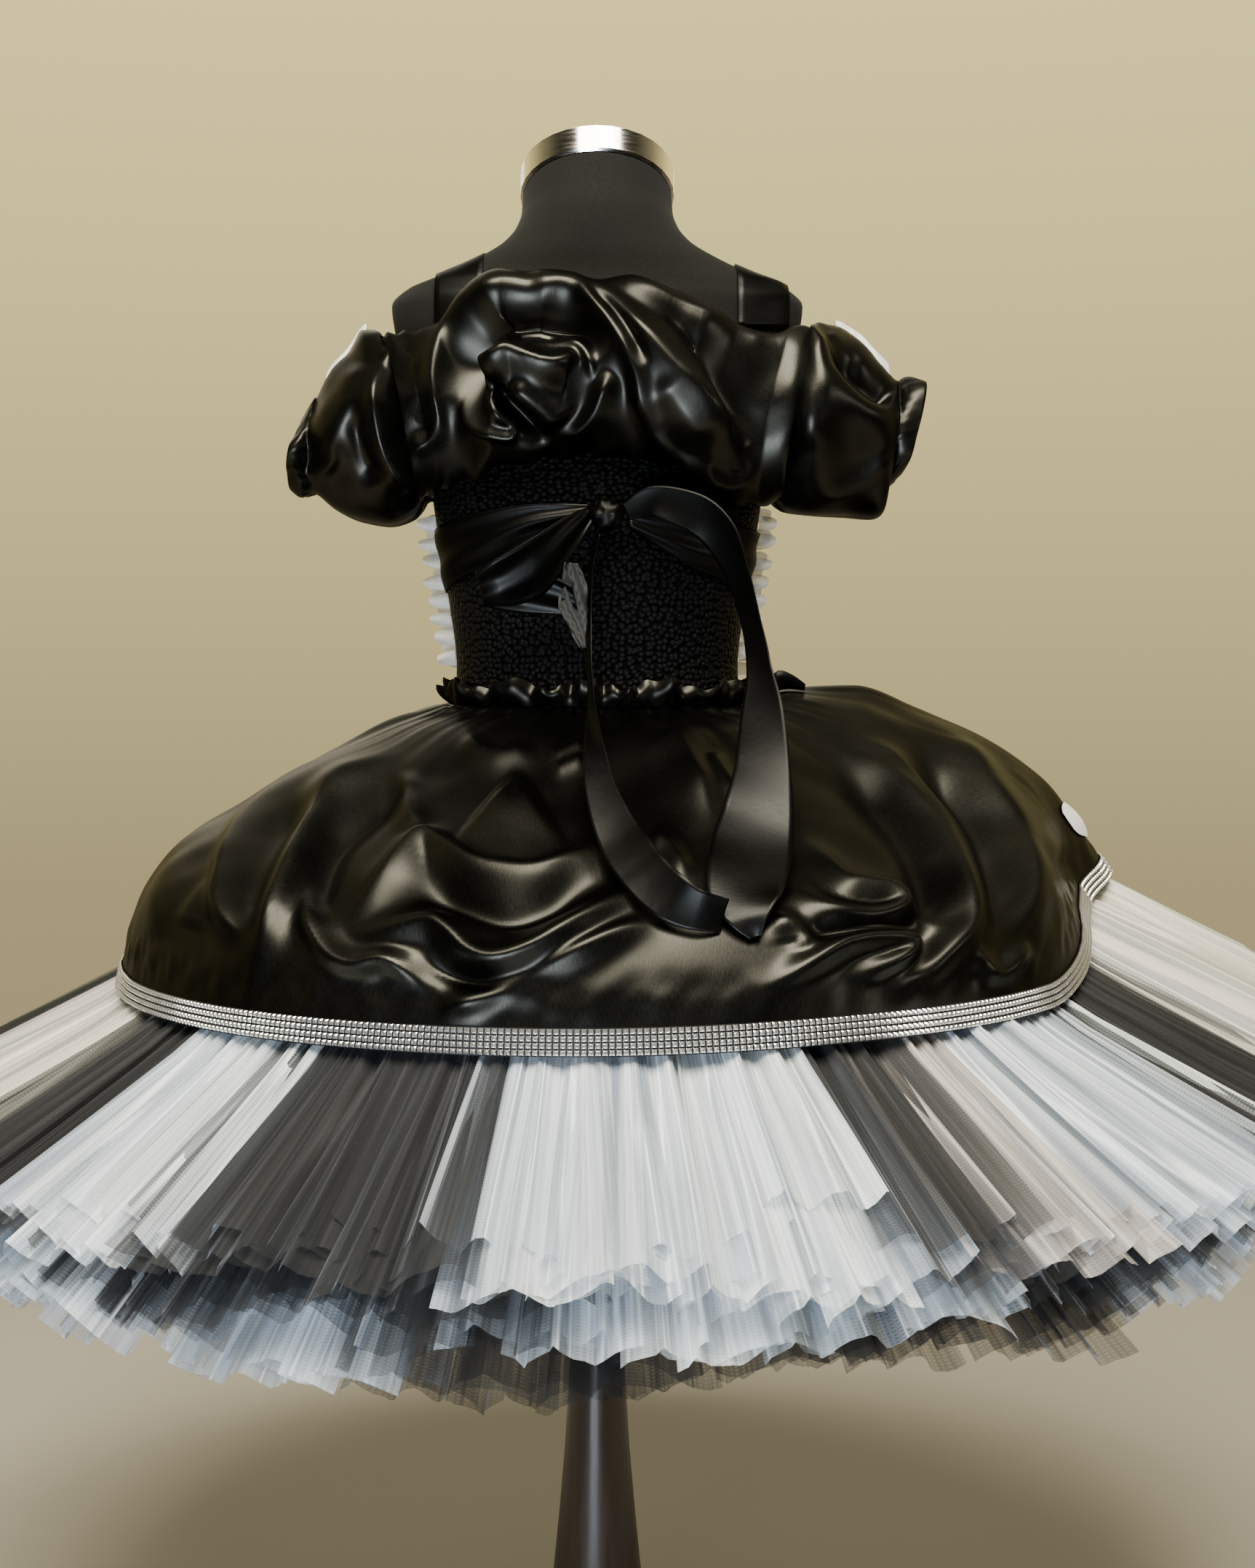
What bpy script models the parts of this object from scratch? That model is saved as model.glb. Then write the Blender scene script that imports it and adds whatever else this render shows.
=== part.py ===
"""A child's tutu dress on a limbless dress form, at its real size.

Metres, +Z up. The wearer's front faces -Y and the wearer's left is +X. The origin is the middle of the underside of the
stand. Azimuths are in degrees about the body's axis: 0 at the back, 90 at the wearer's left, -90 at the wearer's right.
Outlines seen from behind are in millimetres on the plane through the body's axis, across to the wearer's left and up from
the waist, as an eye at EYE_REACH behind the axis and at the height of the waist sees them.
"""
import math
from bisect import bisect_right
from collections import namedtuple

import bmesh
import bpy
import numpy as np
from mathutils import Vector
from mathutils.bvhtree import BVHTree

# Driving sizes
WAIST_HEIGHT = 0.700
EYE_REACH = 1.367
SEAM_GAP = 0.0003
SATIN = 0.0012
RIBBON = 0.0010
TULLE = 0.0016
CROCHET = 0.0022
BODY_CLEARANCE = 0.0009
BODY_SEGMENTS = 32

# The dress form and its stand
TORSO_BOTTOM = 0.530
CAP_RADIUS = 0.0485
CAP_HEIGHT = 0.0195
CAP_EDGE = 0.0015
CAP_MIDDLE = Vector((0.0, 0.0022, 0.9943))
NECK_TILT = 25.0
BASE_RADIUS = 0.150
BASE_HEIGHT = 0.018
BASE_EDGE = 0.004

# Levels of the cloth at the waist, and how far out from the form each layer starts
BODICE_BOTTOM = 0.630
BODICE_TOP = 0.846
BODICE_OUT = BODY_CLEARANCE + CROCHET
SKIRT_TOP = 0.675
SKIRT_OUT = BODICE_OUT + 0.0008
TULLE_OUT = BODICE_OUT + 0.0012
HEM_BAND = 0.014

Section = namedtuple("Section", "height centre half_width half_depth tilt squareness")
BODY = [
    Section(0.5300, 0.000, 0.0930, 0.0760, 0, 2.2),
    Section(0.5450, 0.000, 0.0995, 0.0820, 0, 2.2),
    Section(0.5850, 0.000, 0.1035, 0.0860, 0, 2.2),
    Section(0.6300, 0.000, 0.0990, 0.0810, 0, 2.2),
    Section(0.6700, 0.000, 0.0895, 0.0725, 0, 2.2),
    Section(0.7000, 0.000, 0.0865, 0.0695, 0, 2.2),
    Section(0.7400, 0.000, 0.0910, 0.0725, 0, 2.2),
    Section(0.7900, 0.000, 0.0990, 0.0770, 0, 2.3),
    Section(0.8300, 0.000, 0.1045, 0.0790, 0, 2.3),
    Section(0.8650, 0.001, 0.1100, 0.0760, 0, 2.3),
    Section(0.8930, 0.003, 0.1200, 0.0690, 0, 2.2),
    Section(0.9120, 0.004, 0.1280, 0.0610, 0, 2.1),
    Section(0.9260, 0.006, 0.1295, 0.0550, 0, 2.1),
    Section(0.9360, 0.008, 0.1200, 0.0500, 0, 2.0),
    Section(0.9440, 0.009, 0.0990, 0.0480, 2, 2.0),
    Section(0.9525, 0.010, 0.0780, 0.0475, 5, 2.0),
    Section(0.9610, 0.010, 0.0610, 0.0480, 9, 2.0),
    Section(0.9700, 0.009, 0.0520, 0.0485, 14, 2.0),
    Section(0.9810, 0.006, 0.0478, 0.0475, 20, 2.0),
    Section(0.9940, 0.0023, 0.0468, 0.0468, 25, 2.0),
]

Turning = namedtuple("Turning", "height radius")
POLE = [
    Turning(TORSO_BOTTOM - SEAM_GAP, 0.0150),
    Turning(0.400, 0.0155),
    Turning(0.300, 0.0170),
    Turning(0.240, 0.0185),
    Turning(0.190, 0.0215),
    Turning(0.150, 0.0250),
    Turning(0.100, 0.0300),
    Turning(0.060, 0.0345),
    Turning(0.036, 0.0400),
    Turning(BASE_HEIGHT + SEAM_GAP, 0.0480),
]

# The skirt by azimuth: how far out and how high its hem lies, how much it is lifted there instead of hanging, and the
# angle below level at which the top tier of tulle falls past the hem
Around = namedtuple("Around", "azimuth hem_reach hem_height lifted fall")
AROUND = [
    Around(-180, 0.312, 0.540, 0.5, 32),
    Around(-140, 0.317, 0.552, 0.7, 32),
    Around(-116, 0.338, 0.568, 1.0, 30),
    Around(-101, 0.350, 0.563, 1.0, 28),
    Around(-90, 0.318, 0.547, 0.9, 28),
    Around(-80, 0.310, 0.535, 0.6, 28),
    Around(-68, 0.310, 0.517, 0.2, 28),
    Around(-55, 0.311, 0.508, 0.0, 28),
    Around(-30, 0.313, 0.508, 0.0, 31),
    Around(0, 0.314, 0.506, 0.0, 32),
    Around(30, 0.311, 0.505, 0.0, 32),
    Around(60, 0.305, 0.504, 0.0, 29),
    Around(90, 0.301, 0.508, 0.0, 28),
    Around(115, 0.303, 0.525, 0.2, 30),
    Around(145, 0.306, 0.535, 0.4, 32),
    Around(180, 0.312, 0.540, 0.5, 32),
]

# The skirt from waist to hem, as shares of its reach and of its drop, where it hangs and where it is lifted
Dome = namedtuple("Dome", "share reach drop lifted_reach lifted_drop")
DOME = [
    Dome(0.00, 0.00, 0.00, 0.00, 0.00),
    Dome(0.12, 0.17, 0.06, 0.14, -0.09),
    Dome(0.28, 0.39, 0.22, 0.31, -0.08),
    Dome(0.44, 0.61, 0.38, 0.48, 0.05),
    Dome(0.60, 0.79, 0.51, 0.66, 0.22),
    Dome(0.74, 0.915, 0.64, 0.81, 0.45),
    Dome(0.88, 0.98, 0.81, 0.92, 0.77),
    Dome(1.00, 1.00, 1.00, 1.00, 1.00),
]
SKIRT_BACK = (50, -95.0, 95.0)
SKIRT_FRONT = (22, 95.0, 265.0)
SKIRT_ROWS = 12

# Largest folds of the overskirt at the back, as crests through points seen from behind; height and width in millimetres
Fold = namedtuple("Fold", "height width points")
SKIRT_FOLDS = [
    Fold(9, 15, [(228, -52), (254, -80), (276, -118), (286, -168), (284, -186)]),
    Fold(11, 15, [(150, -34), (200, -64), (228, -100), (240, -140), (232, -172)]),
    Fold(12, 16, [(124, -44), (166, -84), (186, -130), (198, -180), (206, -206)]),
    Fold(9, 14, [(120, -60), (114, -100), (104, -112)]),
    Fold(12, 16, [(150, -150), (126, -114), (100, -108), (66, -128), (28, -128), (-8, -108)]),
    Fold(11, 15, [(150, -172), (112, -172), (72, -190), (34, -182), (-20, -158)]),
    Fold(9, 14, [(104, -216), (64, -212)]),
    Fold(9, 16, [(84, -38), (60, -52), (24, -68)]),
    Fold(11, 18, [(-40, -28), (-58, -66), (-74, -96)]),
    Fold(11, 16, [(-120, -32), (-178, -62), (-222, -108), (-236, -150), (-212, -196)]),
    Fold(9, 15, [(-118, -96), (-156, -128), (-188, -136)]),
    Fold(9, 15, [(-112, -186), (-150, -180), (-190, -180)]),
    Fold(10, 15, [(-160, -18), (-222, -44), (-262, -84), (-282, -128), (-274, -170)]),
    Fold(7, 14, [(-96, -220), (-140, -216), (-180, -210)]),
]

# Tiers of tulle: where each starts, how much steeper than the top one it falls, its length, its waves and their depth,
# and the azimuth at which each colour group of its knotted strips starts
Tier = namedtuple("Tier", "name start steeper length rows waves depth groups")
TIERS = [
    Tier("top", 0.655, 0, 0.415, 4, 32, 0.0070,
         [("white", -20), ("black", 9), ("white", 30), ("black", 44), ("cream", 60), ("black", 95),
          ("white", 125), ("black", 155), ("white", -172), ("black", -140), ("cream", -108), ("black", -75),
          ("white", -59), ("sheer", -37), ("black", -29)]),
    Tier("middle", 0.646, 5, 0.410, 3, 22, 0.0090,
         [("white", -32), ("black", 4), ("white", 40), ("black", 78), ("white", 130), ("black", -170),
          ("white", -120), ("black", -70)]),
    Tier("lower", 0.637, 10, 0.404, 3, 16, 0.0100,
         [("black", -45), ("white", 15), ("black", 75), ("white", 135), ("black", -165), ("white", -105)]),
]
STRIP_GAP = 0.0016
HEADING_WAVES = 20
UNDER_HEM = 0.0125
SEAT = BODICE_OUT + SATIN + 0.0014

# Puffed pieces round the shoulders
Puff = namedtuple("Puff", "across top bottom reach depth top_angle bottom_angle")
BERTHA_BACK = [
    Puff(0.1213, 0.900, 0.806, 0.050, 0.042, 90, -90),
    Puff(0.0950, 0.903, 0.812, 0.085, 0.042, 106, -86),
    Puff(0.0780, 0.921, 0.813, 0.104, 0.042, 112, -82),
    Puff(0.0570, 0.933, 0.817, 0.117, 0.040, 118, -78),
    Puff(0.0336, 0.933, 0.821, 0.120, 0.038, 122, -76),
    Puff(0.0100, 0.927, 0.824, 0.115, 0.034, 124, -76),
    Puff(-0.0150, 0.930, 0.822, 0.117, 0.036, 122, -76),
    Puff(-0.0400, 0.927, 0.818, 0.120, 0.038, 120, -78),
    Puff(-0.0650, 0.917, 0.808, 0.115, 0.040, 114, -80),
    Puff(-0.0850, 0.903, 0.801, 0.100, 0.042, 108, -84),
    Puff(-0.1020, 0.896, 0.799, 0.080, 0.042, 102, -86),
    Puff(-0.1229, 0.902, 0.808, 0.050, 0.042, 90, -90),
]
BERTHA_FRONT = [
    Puff(0.1224, 0.900, 0.806, 0.034, 0.042, 90, -90),
    Puff(0.0800, 0.908, 0.811, 0.090, 0.040, 110, -83),
    Puff(0.0400, 0.914, 0.812, 0.108, 0.038, 120, -78),
    Puff(0.0000, 0.911, 0.815, 0.108, 0.036, 122, -77),
    Puff(-0.0400, 0.914, 0.812, 0.108, 0.038, 120, -78),
    Puff(-0.0800, 0.908, 0.811, 0.090, 0.040, 110, -83),
    Puff(-0.1234, 0.902, 0.808, 0.034, 0.042, 90, -90),
]
BERTHA_FOLDS = [
    Fold(12, 9, [(104, 100), (98, 150), (84, 190), (56, 216), (30, 212), (0, 180), (-14, 140)]),
    Fold(10, 8, [(78, 176), (58, 186), (40, 180), (20, 176)]),
    Fold(7, 7, [(76, 176), (70, 150), (58, 126), (80, 128)]),
    Fold(12, 10, [(-6, 226), (-30, 196), (-44, 160), (-50, 124)]),
    Fold(11, 11, [(-36, 232), (-70, 200), (-96, 150), (-100, 118)]),
    Fold(8, 10, [(-80, 210), (-104, 190), (-116, 150)]),
]
PUFF_ROWS = 8

Barrel = namedtuple("Barrel", "reach top bottom half_depth middle")
SLEEVE_LEFT = [
    Barrel(0.1230, 0.900, 0.806, 0.042, 0.008),
    Barrel(0.1290, 0.908, 0.795, 0.052, 0.008),
    Barrel(0.1400, 0.908, 0.790, 0.058, 0.007),
    Barrel(0.1530, 0.893, 0.792, 0.058, 0.005),
    Barrel(0.1670, 0.879, 0.799, 0.051, 0.002),
    Barrel(0.1790, 0.866, 0.810, 0.039, 0.000),
    Barrel(0.1870, 0.858, 0.817, 0.031, 0.000),
    Barrel(0.1980, 0.850, 0.818, 0.036, 0.000),
]
SLEEVE_RIGHT = [
    Barrel(0.1240, 0.902, 0.808, 0.042, 0.008),
    Barrel(0.1310, 0.911, 0.800, 0.052, 0.008),
    Barrel(0.1450, 0.909, 0.797, 0.060, 0.007),
    Barrel(0.1600, 0.903, 0.795, 0.062, 0.006),
    Barrel(0.1750, 0.889, 0.793, 0.058, 0.004),
    Barrel(0.1880, 0.880, 0.798, 0.048, 0.002),
    Barrel(0.1970, 0.872, 0.818, 0.036, 0.000),
    Barrel(0.2130, 0.876, 0.822, 0.042, 0.000),
]
SLEEVE_SEGMENTS = 22
SLEEVE_ROWS = 8
ARMHOLE_SLANT = 0.26
ARMHOLE_BEND = 0.25
ARMHOLE_MIDDLE = 0.008
PUFF_END = 0.060
PUFF_RISE = 0.005
CUFF_WAVES = 8

# The ribbon round the body: its middle height, half width and how far it stands off the bodice, from knot round to knot
Band = namedtuple("Band", "azimuth height half_width out")
WAIST_RIBBON = [
    Band(3.2, 0.7900, 0.0070, 0.0030),
    Band(25, 0.7860, 0.0110, 0.0022),
    Band(50, 0.7760, 0.0165, 0.0012),
    Band(90, 0.7660, 0.0190, 0.0010),
    Band(180, 0.7660, 0.0190, 0.0010),
    Band(270, 0.7640, 0.0190, 0.0010),
    Band(312, 0.7720, 0.0165, 0.0012),
    Band(335, 0.7830, 0.0110, 0.0022),
    Band(347, 0.7890, 0.0070, 0.0030),
]
KNOT_MIDDLE = (-0.0063, 0.0925, 0.7900)
KNOT_RADII = (0.0095, 0.0080, 0.0095)

# Ribbon pieces from the knot: points of their middle line seen from behind, half width and depth behind the axis, which
# is less than the skirt's where they lie on it, and how far they are turned edge-on, in degrees
Strand = namedtuple("Strand", "across up half_width depth turn")
BOW_LOOP = [
    Strand(3.9, 97, 5, 0.0940, 0),
    Strand(18, 83, 12, 0.1040, 0),
    Strand(40, 62, 18, 0.1130, 0),
    Strand(62, 53, 15, 0.1150, 0),
    Strand(75, 50, 11, 0.1080, 0),
    Strand(68, 48, 12, 0.0990, 0),
    Strand(48, 47, 14, 0.0960, 0),
    Strand(26, 45, 13, 0.0965, 0),
    Strand(14, 42, 10, 0.0985, 0),
]
LOOP_RIGHT = [
    Strand(-17.6, 98, 5, 0.0950, 0),
    Strand(-36, 105, 9, 0.1040, 0),
    Strand(-60, 99, 11, 0.1120, 10),
    Strand(-78, 84, 13, 0.1190, 25),
    Strand(-90, 58, 13, 0.1240, 40),
    Strand(-98, 30, 11, 0.1290, 50),
    Strand(-103, 2, 10, 0.1380, 45),
    Strand(-105, -28, 13, 0.1600, 30),
    Strand(-106, -60, 15, 0.1900, 10),
    Strand(-104, -90, 19, 0.2150, 0),
    Strand(-99, -118, 22, 0.2300, 0),
    Strand(-95, -144, 20, 0.2400, 0),
    Strand(-98, -162, 11, 0.2450, 0),
    Strand(-102, -174, 3, 0.2450, 0),
]
LOOP_LEFT = [
    Strand(0, 84, 5, 0.0960, 70),
    Strand(4, 60, 5, 0.0960, 75),
    Strand(5, 34, 5, 0.1000, 75),
    Strand(5, 8, 5, 0.1120, 75),
    Strand(4, -18, 5, 0.1340, 70),
    Strand(3, -44, 6, 0.1660, 40),
    Strand(-1, -72, 8, 0.2100, 0),
    Strand(-10, -100, 11, 0.2400, 0),
    Strand(-24, -124, 13, 0.2600, 0),
    Strand(-42, -144, 13, 0.2650, 0),
    Strand(-60, -153, 11, 0.2600, 0),
    Strand(-68.5, -155, 9, 0.2600, 0),
]
RIBBON_OFF = 0.0029
RIBBON_STEPS = 14
LONG_STEPS = 26

STRAP_LEAN = 98.0
STRAP_STEPS = 17
STRAP_PIVOT = (0.004, 0.914)
Strap = namedtuple("Strap", "name near far out")
STRAPS = [
    Strap("left", 0.070, 0.100, 0.0030),
    Strap("right", -0.086, -0.119, 0.0034),
]

RUFFLE_AZIMUTH = 106.0
RUFFLE_TOP = 0.802
RUFFLE_BOTTOM = 0.695
RUFFLE_DEPTH = 0.0125
RUFFLE_WAVES = 8
RUFFLE_SWING = 0.0035
RUFFLE_LOBE = 0.22
RUFFLE_OUT = BODICE_OUT + 0.0028

Look = namedtuple("Look", "colour roughness metallic")
LOOKS = {
    "black_satin": Look((0.016, 0.016, 0.015), 0.30, 0.0),
    "black_crochet": Look((0.010, 0.010, 0.011), 0.85, 0.0),
    "black_tulle": Look((0.045, 0.043, 0.042), 0.90, 0.0),
    "white_tulle": Look((0.62, 0.68, 0.74), 0.90, 0.0),
    "cream_tulle": Look((0.70, 0.67, 0.58), 0.90, 0.0),
    "sheer_tulle": Look((0.42, 0.38, 0.34), 0.90, 0.0),
    "white_organza": Look((0.80, 0.79, 0.74), 0.60, 0.0),
    "silver_stones": Look((0.75, 0.74, 0.72), 0.20, 0.9),
    "form_jersey": Look((0.022, 0.022, 0.018), 0.90, 0.0),
    "cap_chrome": Look((0.78, 0.75, 0.68), 0.12, 1.0),
    "stand_wood": Look((0.030, 0.020, 0.015), 0.30, 0.0),
}


def slope_at(keys, values, i):
    """Slope of a table's column at row i, level at a turning point so that nothing overshoots."""
    if i == 0:
        return (values[1] - values[0]) / (keys[1] - keys[0])
    if i == len(keys) - 1:
        return (values[i] - values[i - 1]) / (keys[i] - keys[i - 1])
    before = (values[i] - values[i - 1]) / (keys[i] - keys[i - 1])
    after = (values[i + 1] - values[i]) / (keys[i + 1] - keys[i])
    if before * after <= 0:
        return 0.0
    return 2 * before * after / (before + after)


def eased(keys, values, at):
    """Value of one column at a key, on a smooth curve through its rows."""
    i = min(max(bisect_right(keys, at) - 1, 0), len(keys) - 2)
    span = keys[i + 1] - keys[i]
    t = min(max((at - keys[i]) / span, 0.0), 1.0)
    first = slope_at(keys, values, i) * span
    last = slope_at(keys, values, i + 1) * span
    return (
        (2 * t**3 - 3 * t**2 + 1) * values[i]
        + (t**3 - 2 * t**2 + t) * first
        + (3 * t**2 - 2 * t**3) * values[i + 1]
        + (t**3 - t**2) * last
    )


def row_at(table, at):
    """Row of a table at a value of its first column. The first column may fall or rise."""
    rows = table if table[0][0] < table[-1][0] else table[::-1]
    keys = [row[0] for row in rows]
    values = [at] + [eased(keys, [row[c] for row in rows], at) for c in range(1, len(rows[0]))]
    return type(rows[0])(*values)


def row_along(table, share):
    """Row of a table at a share of the way through its rows, every column eased."""
    keys = list(range(len(table)))
    at = share * (len(table) - 1)
    return type(table[0])(*[eased(keys, [row[c] for row in table], at) for c in range(len(table[0]))])


def wrapped(azimuth):
    """The same azimuth between -180 and 180 degrees."""
    return (azimuth + 180.0) % 360.0 - 180.0


def body_radius(azimuth, height, out=0.0):
    """Distance from the body's axis to the form's surface, or to a layer that lies out from it."""
    section = row_at(BODY, height)
    a = math.radians(azimuth)
    wide = abs(math.sin(a) / section.half_width) ** section.squareness
    deep = abs(math.cos(a) / section.half_depth) ** section.squareness
    return (wide + deep) ** (-1 / section.squareness) + out


def body_point(azimuth, height, out=0.0):
    """Point on the form, or out from it, at an azimuth and a height. The neck's rings tilt forward."""
    section = row_at(BODY, height)
    radius = body_radius(azimuth, height, out)
    a = math.radians(azimuth)
    tilt = math.radians(section.tilt)
    back = radius * math.cos(a)
    return np.array([
        radius * math.sin(a),
        section.centre + back * math.cos(tilt),
        height + back * math.sin(tilt),
    ])


def seen_from_behind(point):
    """Millimetres across and up at which the eye behind sees a point."""
    scale = EYE_REACH / (EYE_REACH - point[1])
    return 1000 * point[0] * scale, 1000 * (point[2] - WAIST_HEIGHT) * scale


def at_depth(across, up, depth):
    """Point that the eye sees at across and up, at a given depth behind the body's axis."""
    scale = (EYE_REACH - depth) / EYE_REACH
    return np.array([0.001 * across * scale, depth, WAIST_HEIGHT + 0.001 * up * scale])


def distance_to_line(across, up, points):
    """Distance in the view from behind to a crest, and the share of the way along it."""
    best = (1e9, 0.0)
    last = len(points) - 1
    for i in range(last):
        start = np.array(points[i])
        step = np.array(points[i + 1]) - start
        t = float(np.clip(np.dot((across, up) - start, step) / np.dot(step, step), 0, 1))
        gap = float(np.hypot(*(start + t * step - (across, up))))
        if gap < best[0]:
            best = (gap, (i + t) / last)
    return best


def relief(point, folds):
    """How far the crests of the folds lift a point, in metres. Crests fade at their ends."""
    across, up = seen_from_behind(point)
    lift = 0.0
    for fold in folds:
        gap, along = distance_to_line(across, up, fold.points)
        fade = min(1.0, 0.35 + 3.0 * min(along, 1 - along))
        lift += 0.001 * fold.height * fade * math.exp(-((gap / fold.width) ** 2))
    return lift


def normals(grid, around):
    """Unit normals of a grid of points, rows by columns."""
    if around:
        along = np.roll(grid, -1, 1) - np.roll(grid, 1, 1)
    else:
        along = np.gradient(grid, axis=1)
    down = np.gradient(grid, axis=0)
    n = np.cross(down, along)
    return n / np.maximum(np.linalg.norm(n, axis=2, keepdims=True), 1e-12)


def moved_out(grid, distance, around, inside):
    """Grid moved along its normals, away from the point inside it."""
    n = normals(grid, around)
    outward = np.sum(n * (grid - np.array(inside)), axis=2).mean()
    return grid + n * distance * (1 if outward > 0 else -1)


def material(name):
    """Plain Principled material of one of the looks."""
    found = bpy.data.materials.get(name)
    if found:
        return found
    look = LOOKS[name]
    made = bpy.data.materials.new(name)
    made.use_nodes = True
    shader = made.node_tree.nodes["Principled BSDF"]
    shader.inputs["Base Color"].default_value = (*look.colour, 1)
    shader.inputs["Roughness"].default_value = look.roughness
    shader.inputs["Metallic"].default_value = look.metallic
    made.diffuse_color = (*look.colour, 1)
    return made


def put_in(collection, name, mesh, look):
    """New object with its own material, in the dress's collection."""
    thing = bpy.data.objects.new(name, mesh)
    mesh.materials.append(material(look))
    collection.objects.link(thing)
    return thing


def smooth(mesh, angle=50.0):
    """Shade a mesh smooth, sharp at edges steeper than the angle."""
    mesh.shade_smooth()
    mesh.set_sharp_from_angle(angle=math.radians(angle))


def grid_faces(rows, columns, around):
    """Faces between neighbouring points of a grid."""
    last = columns if around else columns - 1
    for r in range(rows - 1):
        for c in range(last):
            d = (c + 1) % columns
            yield (r * columns + c, (r + 1) * columns + c, (r + 1) * columns + d, r * columns + d)


def open_sheet(name, grid, around, inside):
    """Open sheet through a grid of points, its faces away from the point inside."""
    rows, columns = grid.shape[:2]
    mesh = bpy.data.meshes.new(name)
    mesh.from_pydata(grid.reshape(-1, 3).tolist(), [], list(grid_faces(rows, columns, around)))
    outward = sum(face.normal.dot(face.center - Vector(inside)) for face in mesh.polygons)
    if outward < 0:
        mesh.flip_normals()
    mesh.validate()
    return mesh


def cloth(collection, name, grid, thickness, look, around=False, inside=(0, 0, 0.6), offset=-1.0):
    """Wall of cloth: an open sheet thickened inwards, or to both sides with offset 0."""
    mesh = open_sheet(name, grid, around, inside)
    smooth(mesh)
    thing = put_in(collection, name, mesh, look)
    solid = thing.modifiers.new("thickness", "SOLIDIFY")
    solid.thickness = thickness
    solid.offset = offset
    solid.use_even_offset = False
    return thing


def closed_loft(collection, name, grid, look):
    """Solid through rings of points, closed by a flat face at each end."""
    rows, columns = grid.shape[:2]
    faces = list(grid_faces(rows, columns, True))
    faces.append(tuple(range(columns)))
    faces.append(tuple((rows - 1) * columns + c for c in reversed(range(columns))))
    mesh = bpy.data.meshes.new(name)
    mesh.from_pydata(grid.reshape(-1, 3).tolist(), [], faces)
    work = bmesh.new()
    work.from_mesh(mesh)
    bmesh.ops.recalc_face_normals(work, faces=work.faces)
    work.to_mesh(mesh)
    work.free()
    smooth(mesh)
    return put_in(collection, name, mesh, look)


def surface_of(thing):
    """Search tree of an object's evaluated mesh, for laying other pieces on it."""
    bpy.context.view_layer.update()
    return BVHTree.FromObject(thing, bpy.context.evaluated_depsgraph_get())


def body_heights():
    """Heights of the form's rings: every row of the table, so that no bend is lost."""
    return [section.height for section in BODY]


def body_azimuths():
    """Azimuths of the points round the body."""
    return [360.0 * i / BODY_SEGMENTS for i in range(BODY_SEGMENTS)]


def make_form(collection):
    """Torso, neck cap, pole and base of the dress form."""
    torso = np.array([[body_point(a, h) for a in body_azimuths()] for h in body_heights()])
    closed_loft(collection, "form_torso", torso, "form_jersey")

    tilt = math.radians(NECK_TILT)
    axis = Vector((0, -math.sin(tilt), math.cos(tilt)))
    bpy.ops.mesh.primitive_cylinder_add(
        vertices=BODY_SEGMENTS, radius=CAP_RADIUS, depth=CAP_HEIGHT,
        location=CAP_MIDDLE + axis * (CAP_HEIGHT / 2 + SEAM_GAP), rotation=(tilt, 0, 0))
    take_in(collection, "form_neck_cap", "cap_chrome", CAP_EDGE)

    bpy.ops.mesh.primitive_cylinder_add(
        vertices=BODY_SEGMENTS, radius=BASE_RADIUS, depth=BASE_HEIGHT, location=(0, 0, BASE_HEIGHT / 2))
    take_in(collection, "form_base", "stand_wood", BASE_EDGE)

    rows = [[(t.radius * math.sin(math.radians(a)), t.radius * math.cos(math.radians(a)), t.height)
             for a in range(0, 360, 20)] for t in POLE]
    closed_loft(collection, "form_pole", np.array(rows), "stand_wood")


def take_in(collection, name, look, edge):
    """Name the primitive just added, give it its look and rounded edges, and move it to the collection."""
    thing = bpy.context.object
    thing.name = name
    thing.data.name = name
    thing.data.materials.append(material(look))
    smooth(thing.data)
    bevel = thing.modifiers.new("edge", "BEVEL")
    bevel.width = edge
    bevel.segments = 1
    bevel.limit_method = "ANGLE"
    for other in thing.users_collection:
        other.objects.unlink(thing)
    collection.objects.link(thing)


def make_bodice(collection):
    """Crochet tube round the body."""
    heights = [BODICE_BOTTOM] + [h for h in body_heights() if BODICE_BOTTOM < h < BODICE_TOP] + [BODICE_TOP]
    grid = np.array([[body_point(a, h, BODICE_OUT) for a in body_azimuths()] for h in heights])
    cloth(collection, "bodice", grid, CROCHET, "black_crochet", around=True, inside=(0, 0, 0.74))


def skirt_rest(azimuth, share):
    """Overskirt before its folds: azimuth and the share of the way from waist to hem."""
    around = row_at(AROUND, wrapped(azimuth))
    dome = row_at(DOME, share)
    reach = dome.reach + around.lifted * (dome.lifted_reach - dome.reach)
    drop = dome.drop + around.lifted * (dome.lifted_drop - dome.drop)
    waist = body_radius(azimuth, SKIRT_TOP, SKIRT_OUT)
    radius = waist + reach * (around.hem_reach - waist)
    height = SKIRT_TOP - drop * (SKIRT_TOP - around.hem_height)
    a = math.radians(azimuth)
    return np.array([radius * math.sin(a), radius * math.cos(a), height])


def front_waves(azimuth, share):
    """Soft gathers on the hidden side, in metres."""
    hidden = max(0.0, -math.cos(math.radians(azimuth))) ** 0.5
    grow = math.sin(math.pi * min(1.0, 0.15 + 0.8 * share))
    return hidden * grow * (0.006 * math.sin(math.radians(11 * azimuth + 20)) + 0.003 * math.sin(math.radians(17 * azimuth)))


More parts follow.
